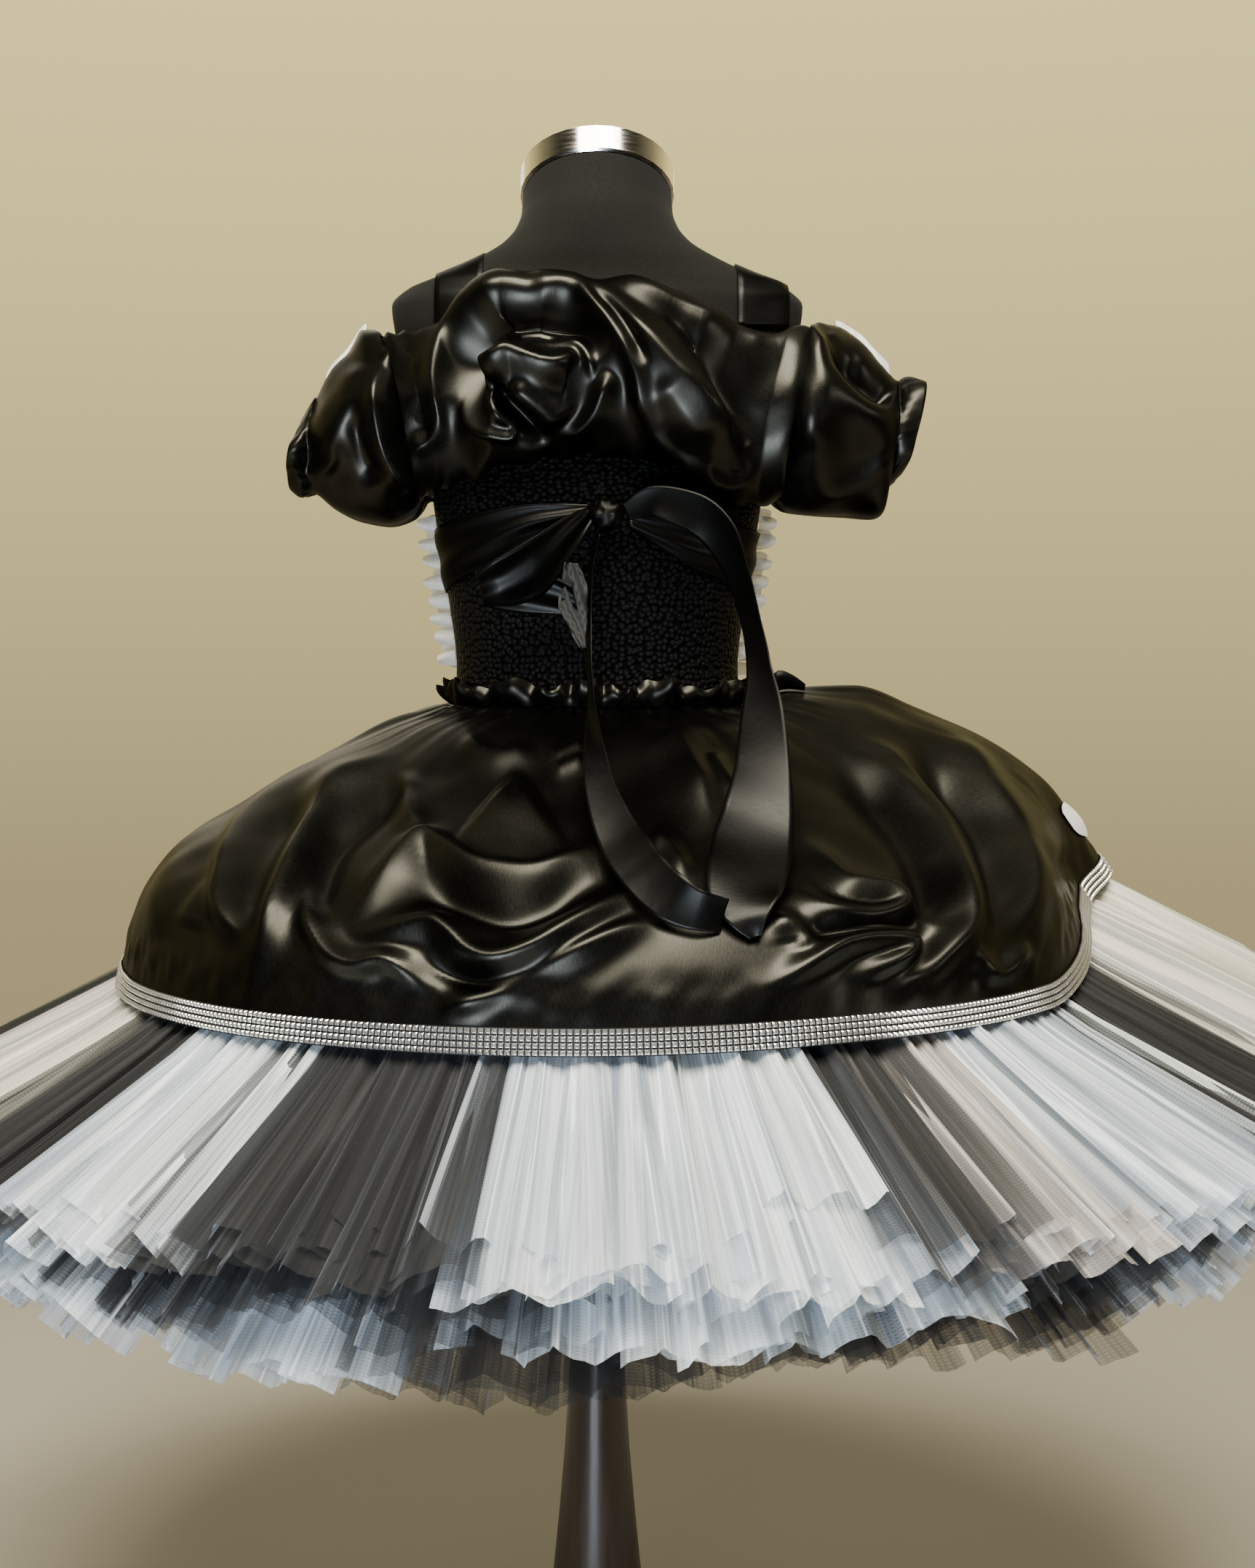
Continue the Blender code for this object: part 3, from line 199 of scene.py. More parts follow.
SLEEVE_LEFT_CRESTS = rows_of(Crest, [
    (9, 14, 16, [(150, 196), (158, 172), (170, 150), (182, 136)]),
    (6, 6, 5, [(160, 160), (168, 142), (170, 130), (178, 125), (192, 126)]),
    (9, 6, 8, [(134, 194), (141, 180), (143, 165), (141, 148), (136, 134), (128, 123), (117, 119),
        (104, 123)]),
    (6, 6, 6, [(138, 190), (127, 198), (115, 202), (106, 201)]),
    (-8, 7, 7, [(129, 186), (124, 168), (122, 150), (121, 132)]),
    (-8, 8, 8, [(156, 166), (151, 146), (145, 128), (137, 116)]),
])
SLEEVE_RIGHT_CRESTS = rows_of(Crest, [
    (10, 6, 14, [(-100, 207), (-112, 211), (-126, 212), (-137, 206), (-147, 195), (-156, 178), (-167, 166),
        (-179, 159), (-189, 160), (-196, 166)]),
    (6, 5, 5, [(-140, 211), (-154, 205), (-169, 195), (-181, 185), (-192, 178)]),
    (4, 12, 12, [(-131, 195), (-131, 165), (-134, 135)]),
    (4, 6, 8, [(-198, 142), (-179, 123), (-158, 112), (-130, 108)]),
    (-17, 9, 8, [(-146, 206), (-160, 190), (-174, 179), (-190, 170)]),
    (-4, 9, 9, [(-118, 192), (-118, 152), (-124, 125)]),
])

Puff = namedtuple("Puff", "across top bottom reach depth top_angle bottom_angle")
BERTHA_BACK = rows_of(Puff, [
    (0.1213, 0.900, 0.806, 0.050, 0.042, 90, -90),
    (0.0950, 0.903, 0.812, 0.085, 0.042, 106, -86),
    (0.0780, 0.921, 0.813, 0.104, 0.042, 112, -82),
    (0.0570, 0.933, 0.817, 0.117, 0.040, 118, -78),
    (0.0336, 0.933, 0.821, 0.120, 0.038, 122, -76),
    (0.0100, 0.927, 0.824, 0.115, 0.034, 124, -76),
    (-0.0150, 0.930, 0.822, 0.117, 0.036, 122, -76),
    (-0.0400, 0.927, 0.818, 0.120, 0.038, 120, -78),
    (-0.0650, 0.917, 0.808, 0.115, 0.040, 114, -80),
    (-0.0850, 0.903, 0.801, 0.100, 0.042, 108, -84),
    (-0.1020, 0.896, 0.799, 0.080, 0.042, 102, -86),
    (-0.1229, 0.902, 0.808, 0.050, 0.042, 90, -90),
])
BERTHA_FRONT = rows_of(Puff, [
    (0.1224, 0.900, 0.806, 0.034, 0.042, 90, -90),
    (0.0800, 0.908, 0.811, 0.090, 0.040, 110, -83),
    (0.0400, 0.914, 0.812, 0.108, 0.038, 120, -78),
    (0.0000, 0.911, 0.815, 0.108, 0.036, 122, -77),
    (-0.0400, 0.914, 0.812, 0.108, 0.038, 120, -78),
    (-0.0800, 0.908, 0.811, 0.090, 0.040, 110, -83),
    (-0.1234, 0.902, 0.808, 0.034, 0.042, 90, -90),
])
ARMHOLE_SLANT = 0.26
ARMHOLE_BEND = 0.25
ARMHOLE_MIDDLE = 0.008
ARMHOLE_SEAM = 0.1265
ARMHOLE_FILL = {1: 0.014, -1: 0.026}
ARMHOLE_REACH = (0.022, 0.032)
ARMHOLE_LAP = 0.007
ARM_HEIGHT = 0.853
CUFF_FILL = 0.0105
# How far the cuff's top and bottom are drawn in towards the body
CUFF_DRAWN = {1: (0.012, 0.003), -1: (0.007, 0.022)}
SLEEVE_SWAY = 0.0022
FRONT_SWAY = 0.004
RUFFLE_WAVES = (0.0026, 0.0006)
SLEEVE_GATHERS = (0.0016, 0.0009)
PUFF_END = 0.060
PUFF_RISE = 0.035
EDGE_GATHER = 0.0016

Barrel = namedtuple("Barrel", "reach top bottom half_depth middle")
SLEEVE_LEFT = rows_of(Barrel, [
    (0.1230, 0.900, 0.806, 0.042, 0.008),
    (0.1290, 0.908, 0.795, 0.052, 0.008),
    (0.1400, 0.908, 0.790, 0.058, 0.007),
    (0.1530, 0.893, 0.792, 0.058, 0.005),
    (0.1670, 0.879, 0.799, 0.051, 0.002),
    (0.1790, 0.866, 0.810, 0.039, 0.000),
    (0.1870, 0.858, 0.817, 0.031, 0.000),
    (0.1980, 0.850, 0.818, 0.036, 0.000),
])
SLEEVE_RIGHT = rows_of(Barrel, [
    (0.1240, 0.902, 0.808, 0.042, 0.008),
    (0.1310, 0.911, 0.800, 0.052, 0.008),
    (0.1450, 0.909, 0.797, 0.060, 0.007),
    (0.1600, 0.903, 0.795, 0.062, 0.006),
    (0.1750, 0.889, 0.793, 0.058, 0.004),
    (0.1880, 0.880, 0.798, 0.048, 0.002),
    (0.1970, 0.872, 0.818, 0.036, 0.000),
    (0.2130, 0.876, 0.822, 0.042, 0.000),
])

EDGINGS = {"left": (145, 174, 0), "right": (-151, -188, 1)}
EDGING_RISE = 0.0042

Tier = namedtuple("Tier", "name start steeper length strips groups")
TIERS = [
    Tier("top", 0.655, 0, 0.415, 62,
         [("white", -20), ("black", 9), ("white", 30), ("black", 44), ("cream", 60), ("black", 95),
          ("white", 125), ("black", 155), ("white", 188), ("black", 220), ("cream", 252), ("black", 285),
          ("white", 301), ("sheer", 323), ("black", 331)]),
    Tier("middle", 0.646, 5, 0.410, 54,
         [("white", -32), ("black", 4), ("white", 40), ("black", 78), ("white", 130), ("black", 190),
          ("white", 240), ("black", 290)]),
    Tier("lower", 0.637, 10, 0.404, 48,
         [("black", -45), ("white", 15), ("black", 75), ("white", 135), ("black", 195), ("white", 255)]),
]

BETWEEN_CRESTS = 0.004

Band = namedtuple("Band", "azimuth height half_width out")
WAIST_RIBBON = rows_of(Band, [
    (3.2, 0.7900, 0.0070, 0.0030),
    (25, 0.7860, 0.0110, 0.0022),
    (50, 0.7760, 0.0165, 0.0012),
    (90, 0.7660, 0.0190, 0.0010),
    (180, 0.7660, 0.0190, 0.0010),
    (270, 0.7640, 0.0190, 0.0010),
    (312, 0.7720, 0.0165, 0.0012),
    (335, 0.7830, 0.0110, 0.0022),
    (347, 0.7890, 0.0070, 0.0030),
])
KNOT_MIDDLE = (-0.0063, 0.0925, 0.7900)
KNOT_RADII = (0.0095, 0.0080, 0.0095)

Strand = namedtuple("Strand", "across up half_width depth turn")
BOW_LOOP = rows_of(Strand, [
    (3.9, 97, 5, 0.0940, 0),
    (18, 83, 12, 0.1040, 0),
    (40, 62, 18, 0.1130, 0),
    (62, 53, 15, 0.1150, 0),
    (75, 50, 11, 0.1080, 0),
    (68, 48, 12, 0.0990, 0),
    (48, 47, 14, 0.0960, 0),
    (26, 45, 13, 0.0965, 0),
    (14, 42, 10, 0.0985, 0),
])
BOW_TAIL = rows_of(Strand, [
    (16, 66, 4, 0.1000, 0),
    (15, 52, 8, 0.0985, 0),
    (15, 38, 9, 0.0975, 0),
    (13, 26, 6, 0.0970, 0),
    (9, 12, 2, 0.0965, 0),
])
LOOP_RIGHT = rows_of(Strand, [
    (-17.6, 98, 5, 0.0950, 0),
    (-36, 105, 9, 0.1040, 0),
    (-60, 99, 11, 0.1120, 10),
    (-78, 84, 12, 0.1190, 35),
    (-90, 58, 10, 0.1240, 50),
    (-98, 30, 9, 0.1290, 55),
    (-103, 2, 9, 0.1380, 45),
    (-105, -28, 13, 0.1600, 30),
    (-106, -60, 15, 0.1900, 10),
    (-104, -90, 19, 0.2150, 0),
    (-99, -118, 22, 0.2300, 0),
    (-95, -144, 20, 0.2400, 0),
    (-98, -162, 11, 0.2450, 0),
    (-102, -174, 3, 0.2450, 0),
])
LOOP_LEFT = rows_of(Strand, [
    (0, 84, 5, 0.0960, 70),
    (4, 60, 5, 0.0960, 75),
    (5, 34, 5, 0.1000, 75),
    (5, 8, 5, 0.1120, 75),
    (4, -18, 5, 0.1340, 70),
    (3, -44, 6, 0.1660, 40),
    (-1, -72, 8, 0.2100, 0),
    (-10, -100, 11, 0.2400, 0),
    (-24, -124, 13, 0.2600, 0),
    (-42, -144, 13, 0.2650, 0),
    (-62, -156, 11, 0.2600, 0),
    (-82, -160, 9, 0.2500, 0),
])

RUFFLE_AZIMUTH = 106.0
RUFFLE_TOP = 0.802
RUFFLE_BOTTOM = 0.695
RUFFLE_DEPTH = 0.0135
RUFFLE_LOBES = 9
RUFFLE_SWING = 9.0
RUFFLE_CURL = 2.5
RUFFLE_OUT = BODICE_OUT + 0.0024

Strap = namedtuple("Strap", "name near far out")
STRAPS = rows_of(Strap, [
    ("left", 0.070, 0.100, 0.0024),
    ("right", -0.086, -0.119, 0.0028),
])
STRAP_LEAN = 98.0
STRAP_PIVOT = (0.004, 0.914)


# Numbers
def through(keys, values, at):
    """Smooth curve through the values of one column, level where the column turns."""
    keys = np.asarray(keys, float)
    values = np.asarray(values, float)
    step = np.diff(keys)
    rise = np.diff(values) / step
    slope = np.empty_like(values)
    slope[0], slope[-1] = rise[0], rise[-1]
    same = rise[:-1] * rise[1:] > 0
    slope[1:-1] = np.where(same, 2 * rise[:-1] * rise[1:] / np.where(same, rise[:-1] + rise[1:], 1), 0)
    at = np.asarray(at, float)
    i = np.clip(np.searchsorted(keys, at, side="right") - 1, 0, len(keys) - 2)
    t = np.clip((at - keys[i]) / step[i], 0, 1)
    return (
        (2 * t**3 - 3 * t**2 + 1) * values[i]
        + (t**3 - 2 * t**2 + t) * slope[i] * step[i]
        + (3 * t**2 - 2 * t**3) * values[i + 1]
        + (t**3 - t**2) * slope[i + 1] * step[i]
    )


def row_at(table, at):
    """Rows of a table at values of its first column, each column an array."""
    rows = table if table[0][0] < table[-1][0] else table[::-1]
    columns = list(zip(*rows))
    return type(rows[0])(np.asarray(at, float), *[through(columns[0], c, at) for c in columns[1:]])


def row_along(table, share):
    """Rows of a table at shares of the way through it."""
    at = np.asarray(share, float) * (len(table) - 1)
    return type(table[0])(*[through(range(len(table)), c, at) for c in zip(*table)])


def wrapped(azimuth):
    """The same azimuths between -180 and 180 degrees."""
    return (azimuth + 180.0) % 360.0 - 180.0


def smoothstep(low, high, x):
    """0 below low, 1 above high, and a soft step between."""
    t = np.clip((x - low) / (high - low), 0, 1)
    return t * t * (3 - 2 * t)


def softly_over(a, b, blend=0.008):
    """The larger of two depths, with a soft change from one to the other."""
    return (a + b + np.sqrt((a - b) ** 2 + blend**2)) / 2


def points(x, y, z):
    """Array of points from arrays of coordinates."""
    return np.stack(np.broadcast_arrays(x, y, z), -1)


def length_of(v):
    """Lengths of vectors, kept as a last axis."""
    return np.maximum(np.linalg.norm(v, axis=-1, keepdims=True), 1e-12)


# The form's surface
def body_radius(azimuth, height, out=0.0):
    """Distance from the body's axis to the form, or to a layer out from it."""
    s = row_at(BODY, height)
    a = np.radians(azimuth)
    wide = np.abs(np.sin(a) / s.half_width) ** s.squareness
    deep = np.abs(np.cos(a) / s.half_depth) ** s.squareness
    return (wide + deep) ** (-1 / s.squareness) + out


def body_point(azimuth, height, out=0.0):
    """Points on the form, or out from it."""
    s = row_at(BODY, height)
    radius = body_radius(azimuth, height, out)
    a = np.radians(azimuth)
    tilt = np.radians(s.tilt)
    back = radius * np.cos(a)
    return points(radius * np.sin(a), s.centre + back * np.cos(tilt), height + back * np.sin(tilt))


def body_back(across, height, facing, out):
    """Depth of a layer out from the form, at the back (facing 1) or the front (facing -1)."""
    s = row_at(BODY, height)
    inside = np.maximum(0.0, 1 - np.abs(across / (s.half_width + out)) ** s.squareness)
    return facing * s.centre + (s.half_depth + out) * inside ** (1 / s.squareness)


# The view from behind
def seen_from_behind(grid):
    """Millimetres across and up at which the eye sees points."""
    scale = EYE_REACH / (EYE_REACH - grid[..., 1])
    return 1000 * grid[..., 0] * scale, 1000 * (grid[..., 2] - WAIST_HEIGHT) * scale


def at_depth(across, up, depth):
    """Points that the eye sees at across and up, at a depth behind the axis."""
    scale = (EYE_REACH - depth) / EYE_REACH
    return points(0.001 * across * scale, depth, WAIST_HEIGHT + 0.001 * up * scale)


def curve_through(corners, steps=7):
    """Rounded line through a crest's points."""
    share = np.linspace(0, 1, (len(corners) - 1) * steps + 1) * (len(corners) - 1)
    p = np.asarray(corners, float)
    padded = np.concatenate([2 * p[:1] - p[1:2], p, 2 * p[-1:] - p[-2:-1]])
    i = np.clip(share.astype(int), 0, len(p) - 2)
    t = (share - i)[:, None]
    a, b, c, d = padded[i], padded[i + 1], padded[i + 2], padded[i + 3]
    return 0.5 * (2 * b + (c - a) * t + (2 * a - 5 * b + 4 * c - d) * t**2 + (3 * b - a - 3 * c + d) * t**3)


def near_line(across, up, line):
    """Distance to a line, share of the way along it, and 1 on its left or -1 on its right."""
    best = np.full(across.shape, 1e9)
    along = np.zeros(across.shape)
    side = np.ones(across.shape)
    last = len(line) - 1
    for i in range(last):
        start, step = line[i], line[i + 1] - line[i]
        dx, dy = across - start[0], up - start[1]
        t = np.clip((dx * step[0] + dy * step[1]) / (step @ step), 0, 1)
        gap = np.hypot(dx - t * step[0], dy - t * step[1])
        nearer = gap < best
        best = np.where(nearer, gap, best)
        along = np.where(nearer, (i + t) / last, along)
        # across grows to the left in the view, so left of the way is where this is below zero
        side = np.where(nearer, np.where(step[0] * dy - step[1] * dx < 0, 1, -1), side)
    return best, along, side


def relief(grid, crests):
    """Lift of each point by the crests, in metres. Crests meet without piling up."""
    across, up = seen_from_behind(grid)
    high = np.zeros(across.shape)
    low = np.zeros(across.shape)
    for crest in crests:
        gap, along, side = near_line(across, up, curve_through(crest.points))
        width = np.where(side > 0, crest.left, crest.right)
        fade = smoothstep(-0.03, 0.28, np.minimum(along, 1 - along))
        lift = 0.001 * abs(crest.height) * fade * np.exp(-((gap / width) ** 1.7))
        if crest.height > 0:
            high += lift**2.5
        else:
            low += lift**2.5
    return high**0.4 - low**0.4


def uneven(grid, pitch, seed):
    """Soft unevenness between -1 and 1 over points, from a few waves of about the pitch."""
    chance = np.random.default_rng(seed)
    total = np.zeros(grid.shape[:-1])
    for _ in range(7):
        way = chance.normal(size=3)
        way *= 2 * math.pi / pitch * chance.uniform(0.6, 1.5) / np.linalg.norm(way)
        total += np.sin(grid @ way + chance.uniform(0, 2 * math.pi))
    return total / 4


def normals(grid, around):
    """Unit normals of a grid of points."""
    if around:
        along = np.roll(grid, -1, 1) - np.roll(grid, 1, 1)
    else:
        along = np.gradient(grid, axis=1)
    down = np.gradient(grid, axis=0)
    n = np.cross(down, along)
    return n / length_of(n)


def facing_out(grid, around, inside):
    """Unit normals that point away from the point inside."""
    n = normals(grid, around)
    outward = np.sum(n * (grid - np.array(inside)), axis=2).mean()
    return n if outward > 0 else -n


# Meshes
UV_STEP = 0.137


def along_line(line):
    """Lengths from the start of a line to each of its points."""
    return np.concatenate([[0], np.cumsum(np.linalg.norm(np.diff(line, axis=0), axis=1))])


def cloth(name, grids, look, nodes=(), around=False, inside=(0, 0, 0.6), thickness=None):
    """Piece of cloth through one or more grids of points, with UVs in metres, in place of nodes."""
    verts, faces, uvs = [], [], []
    base = 0
    for n, grid in enumerate(grids):
        rows, columns = grid.shape[:2]
        r, c = np.meshgrid(np.arange(rows - 1), np.arange(columns if around else columns - 1), indexing="ij")
        d = (c + 1) % columns
        corners = [r * columns + c, (r + 1) * columns + c, (r + 1) * columns + d, r * columns + d]
        faces.append(np.stack(corners, -1).reshape(-1, 4) + base)
        closed = np.concatenate([grid, grid[:, :1]], 1) if around else grid
        u = along_line(closed[rows // 2]) + UV_STEP * n
        v = along_line(grid[:, columns // 2])
        uvs.append(np.stack([np.stack(pair, -1) for pair in (
            (u[c], v[r]), (u[c], v[r + 1]), (u[c + 1], v[r + 1]), (u[c + 1], v[r]))], -2).reshape(-1, 2))
        verts.append(grid.reshape(-1, 3))
        base += rows * columns
    mesh = bpy.data.meshes.new(name)
    mesh.from_pydata(np.concatenate(verts).tolist(), [], np.concatenate(faces).tolist())
    mesh.uv_layers.new(name="cloth").data.foreach_set("uv", np.concatenate(uvs).ravel())
    if sum(f.normal.dot(f.center - Vector(inside)) for f in mesh.polygons) < 0:
        mesh.flip_normals()
    mesh.shade_smooth()
    thing = placed(name, mesh, look, nodes)
    if thickness:
        solid = thing.modifiers.new("thickness", "SOLIDIFY")
        solid.thickness = thickness
        solid.offset = -1.0
    return thing


def placed(name, mesh, look, nodes=()):
    """Object of the dress with its material, riding on the root and standing for nodes of the solids."""
    thing = bpy.data.objects.new(name, mesh)
    mesh.materials.append(look)
    bpy.context.scene.collection.objects.link(thing)
    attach(thing, "root")
    if nodes:
        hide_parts(*nodes)
    return thing


def nodes_named(*starts):
    """Names of the solids that start so."""
    return [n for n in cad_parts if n.startswith(starts)]


# Materials
def node(tree, kind, inputs=None, **settings):
    """New shader node with its settings, and its inputs set or linked by name or number."""
    made = tree.nodes.new("ShaderNode" + kind)
    for key, value in settings.items():
        setattr(made, key, value)
    for key, value in (inputs or {}).items():
        if isinstance(value, bpy.types.NodeSocket):
            tree.links.new(value, made.inputs[key])
        else:
            made.inputs[key].default_value = value
    return made


def new_look(name, **sockets):
    """New Principled material with constant sockets, its tree, shader and UVs."""
    made = bpy.data.materials.new(name)
    made.use_nodes = True
    tree = made.node_tree
    shader = tree.nodes["Principled BSDF"]
    for key, value in sockets.items():
        shader.inputs[key.replace("_", " ")].default_value = value
    uv = node(tree, "UVMap", uv_map="cloth").outputs["UV"]
    return made, tree, shader, uv


def feed(shader, **sockets):
    """Link outputs to sockets of a shader."""
    for key, value in sockets.items():
        shader.id_data.links.new(value, shader.inputs[key.replace("_", " ")])


def place_on(tree):
    """Coordinates fixed to the object, in metres."""
    return node(tree, "TexCoord").outputs["Object"]


def ramp(tree, factor, stops):
    """Colour ramp over a factor. A stop is its place and a grey or a colour."""
    made = node(tree, "ValToRGB", {"Fac": factor})
    made.color_ramp.elements.remove(made.color_ramp.elements[0])
    for i, (place, colour) in enumerate(stops):
        element = made.color_ramp.elements[0] if i == 0 else made.color_ramp.elements.new(place)
        element.position = place
        grey = isinstance(colour, (int, float))
        element.color = (colour, colour, colour, 1) if grey else (*colour, 1)
    return made.outputs["Color"]


def ranged(tree, value, low, high, to_low, to_high):
    """Value moved from one range to another and kept inside it."""
    return node(tree, "MapRange", {0: value, 1: low, 2: high, 3: to_low, 4: to_high}).outputs[0]


def mixed(tree, share, a, b, **settings):
    """Two colours mixed."""
    made = node(tree, "Mix", {"Factor": share, "A": a, "B": b}, data_type="RGBA", **settings)
    return made.outputs["Result"]


def maths(tree, operation, *values, clamp=False):
    """Result of an operation on numbers."""
    return node(tree, "Math", dict(enumerate(values)), operation=operation, use_clamp=clamp).outputs[0]


def stretched(tree, vector, scale):
    """Coordinates scaled by axis."""
    return node(tree, "Mapping", {"Vector": vector, "Scale": scale}).outputs["Vector"]


def noise(tree, vector, scale, detail=2.0):
    """Value of a noise texture."""
    made = node(tree, "TexNoise", {"Vector": vector, "Scale": scale, "Detail": detail})
    return made.outputs["Fac"]


def cells(tree, vector, randomness, **settings):
    """Distance in a flat pattern of cells of size one."""
    made = node(tree, "TexVoronoi", {"Vector": vector, "Scale": 1.0, "Randomness": randomness},
                voronoi_dimensions="2D", **settings)
    return made.outputs["Distance"]


def bump(tree, height, distance, strength=1.0):
    """Normal of a bump."""
    made = node(tree, "Bump", {"Height": height, "Distance": distance, "Strength": strength})
    return made.outputs["Normal"]


# Gloss of satin where it turns away, and of its dull reverse
DULL_EDGE = (0.5, 0.5, 0.5, 1)
WARM_GLOSS = (1.0, 0.98, 0.93, 1)


def satin(name, dark, light, roughness, metallic=1.0, tint=DULL_EDGE):
    """Black polyester satin: bright floats in one direction over near-black depths."""
    made, tree, shader, uv = new_look(
        name, Metallic=metallic, Specular_IOR_Level=0.30, Anisotropic=0.35, Specular_Tint=tint)
    blotch = noise(tree, place_on(tree), 16.0)
    floats = noise(tree, stretched(tree, uv, (2600, 260, 1)), 1.0, 1.0)
    feed(shader,
         Base_Color=ramp(tree, blotch, [(0.3, dark), (0.75, light)]),
         Roughness=ranged(tree, floats, 0.2, 0.8, roughness - 0.05, roughness + 0.07),
         Normal=bump(tree, floats, 0.00008, 0.5))
    return made


def crochet():
    """Stretchy black crochet: uneven rows of small round stitches, with painted shade darkening the holes
    between them.
    """
    made, tree, shader, uv = new_look("crochet", Specular_IOR_Level=0.06)
    stitch = cells(tree, stretched(tree, uv, (250, 290, 1)), 0.8)
    yarn = noise(tree, stretched(tree, uv, (1400, 500, 1)), 1.0)
    round_stitch = ramp(tree, stitch, [(0.0, 1.0), (0.35, 0.75), (0.7, 0.0)])
    feed(shader,
         # painted shade: the colour darkens from the middle of each stitch into the sunken holes between the
         # stitches
         Base_Color=ramp(tree, stitch, [(0.10, 0.005), (0.35, 0.002), (0.60, 0.0002)]),
         Roughness=ramp(tree, yarn, [(0.3, 0.35), (0.7, 0.75)]),
         Normal=bump(tree, mixed(tree, 0.2, round_stitch, yarn), 0.0022, 1.0))
    return made


# Tones multiplying the net's colour strip by strip: partly the strips' own bluish and warm whites, partly
# painted shade that darkens some strips to grey
NET_TONES_AND_SHADE = [(0.34, (0.52, 0.55, 0.60)), (0.50, (0.92, 0.92, 0.92)), (0.68, (1.0, 0.97, 0.93))]


def tulle(name, colour, shade, low, high):
    """Net in long gathers: thin and see-through between the gathers and denser along them, with painted shade
    between the gathers.
    """
    made, tree, shader, uv = new_look(
        name, Roughness=0.75, Sheen_Weight=0.25, Sheen_Roughness=0.4, Specular_IOR_Level=0.3)
    gathers = noise(tree, stretched(tree, uv, (150, 4, 1)), 1.0, 4.0)
    fine = noise(tree, stretched(tree, uv, (800, 9, 1)), 1.0, 2.0)
    both = mixed(tree, 0.14, gathers, fine)
    edges = noise(tree, stretched(tree, uv, (95, 1.6, 1)), 1.0, 1.0)
    folded = ramp(tree, edges, [(0.0, 0.0), (0.455, 0.0), (0.485, 1.0), (0.515, 0.0)])
    strip = noise(tree, stretched(tree, uv, (21, 0.8, 1)), 1.0, 0.0)
    # strip tones, partly painted shade darkening some strips
    strip_tone_and_shade = ramp(tree, strip, NET_TONES_AND_SHADE)
    # painted shade: the net's own colour along the gathers darkens to the shade colour between them, and is
    # then multiplied by the strip tones
    painted_gather_shade = ramp(tree, both, [(0.34, shade), (0.60, colour)])
    gather_shade_and_strip_tone = mixed(tree, 1.0, painted_gather_shade, strip_tone_and_shade, blend_type="MULTIPLY")
    mesh = cells(tree, stretched(tree, uv, (600, 520, 1)), 0.0, feature="DISTANCE_TO_EDGE")
    thread = ramp(tree, mesh, [(0.08, 1.0), (0.32, 0.0)])
    along = node(tree, "SeparateXYZ", {0: uv}).outputs["Y"]
    thin = ranged(tree, along, 0.24, 0.42, 1.0, 0.72)
    dense = ranged(tree, both, 0.34, 0.64, low, high)
    net = maths(tree, "MULTIPLY_ADD", thread, 0.22, dense, clamp=True)
    doubled = maths(tree, "MULTIPLY_ADD", folded, 0.30, net)
    feed(shader,
         # on fold lines the net keeps its own colour, free of the painted shade and strip tones, and is
         # denser
         Base_Color=mixed(tree, folded, gather_shade_and_strip_tone, (*colour, 1)),
         Alpha=maths(tree, "MULTIPLY", doubled, thin, clamp=True))
    return made


def organza(name, low, high):
    """Sheer, slightly crisp white strip."""
    made, tree, shader, uv = new_look(
        name, Roughness=0.45, Sheen_Weight=0.4, Sheen_Roughness=0.3, Specular_IOR_Level=0.5)
    threads = noise(tree, stretched(tree, uv, (1500, 1500, 1)), 1.0)
    feed(shader,
         Base_Color=ramp(tree, threads, [(0.3, (0.70, 0.69, 0.64)), (0.7, (0.90, 0.89, 0.85))]),
         Alpha=ramp(tree, threads, [(0.3, low), (0.7, high)]))
    return made


def jersey():
    """Black stretch jersey pulled over the torso: fine ribs of loops and a dull bloom."""
    made, tree, shader, _ = new_look(
        "jersey", Sheen_Weight=0.03, Sheen_Roughness=0.6, Specular_IOR_Level=0.12)
    place = place_on(tree)
    patches = noise(tree, place, 9.0)
    ribs = noise(tree, stretched(tree, place, (1500, 1500, 900)), 1.0)
    feed(shader,
         Base_Color=ramp(tree, patches, [(0.3, (0.0045, 0.0045, 0.0030)), (0.7, (0.0075, 0.0075, 0.0050))]),
         Roughness=ramp(tree, ribs, [(0.3, 0.72), (0.7, 0.95)]),
         Normal=bump(tree, ribs, 0.0002, 0.6))
    return made


def metal(name, colour, roughness, scratch, metallic=1.0):
    """Polished metal with faint wear."""
    made, tree, shader, _ = new_look(name, Metallic=metallic, Base_Color=(*colour, 1))
    wear = noise(tree, stretched(tree, place_on(tree), (60, 60, 700)), scratch, 3.0)
    feed(shader, Roughness=ranged(tree, wear, 0.3, 0.8, roughness, roughness + 0.12))
    return made


def wood():
    """Dark stained wood under gloss varnish."""
    made, tree, shader, _ = new_look("wood", Coat_Weight=0.25, Coat_Roughness=0.15, Specular_IOR_Level=0.3)
    grain = noise(tree, stretched(tree, place_on(tree), (160, 160, 6)), 1.0, 4.0)
    feed(shader,
         Base_Color=ramp(tree, grain, [(0.3, (0.006, 0.004, 0.003)), (0.7, (0.030, 0.016, 0.010))]),
         Roughness=ramp(tree, grain, [(0.3, 0.28), (0.7, 0.45)]))
    return made


SATIN_LOOK = satin("satin", (0.020, 0.0195, 0.0165), (0.043, 0.0415, 0.0345), 0.335)
RIBBON_LOOK = satin("ribbon_satin", (0.014, 0.014, 0.013), (0.024, 0.0235, 0.022), 0.38)
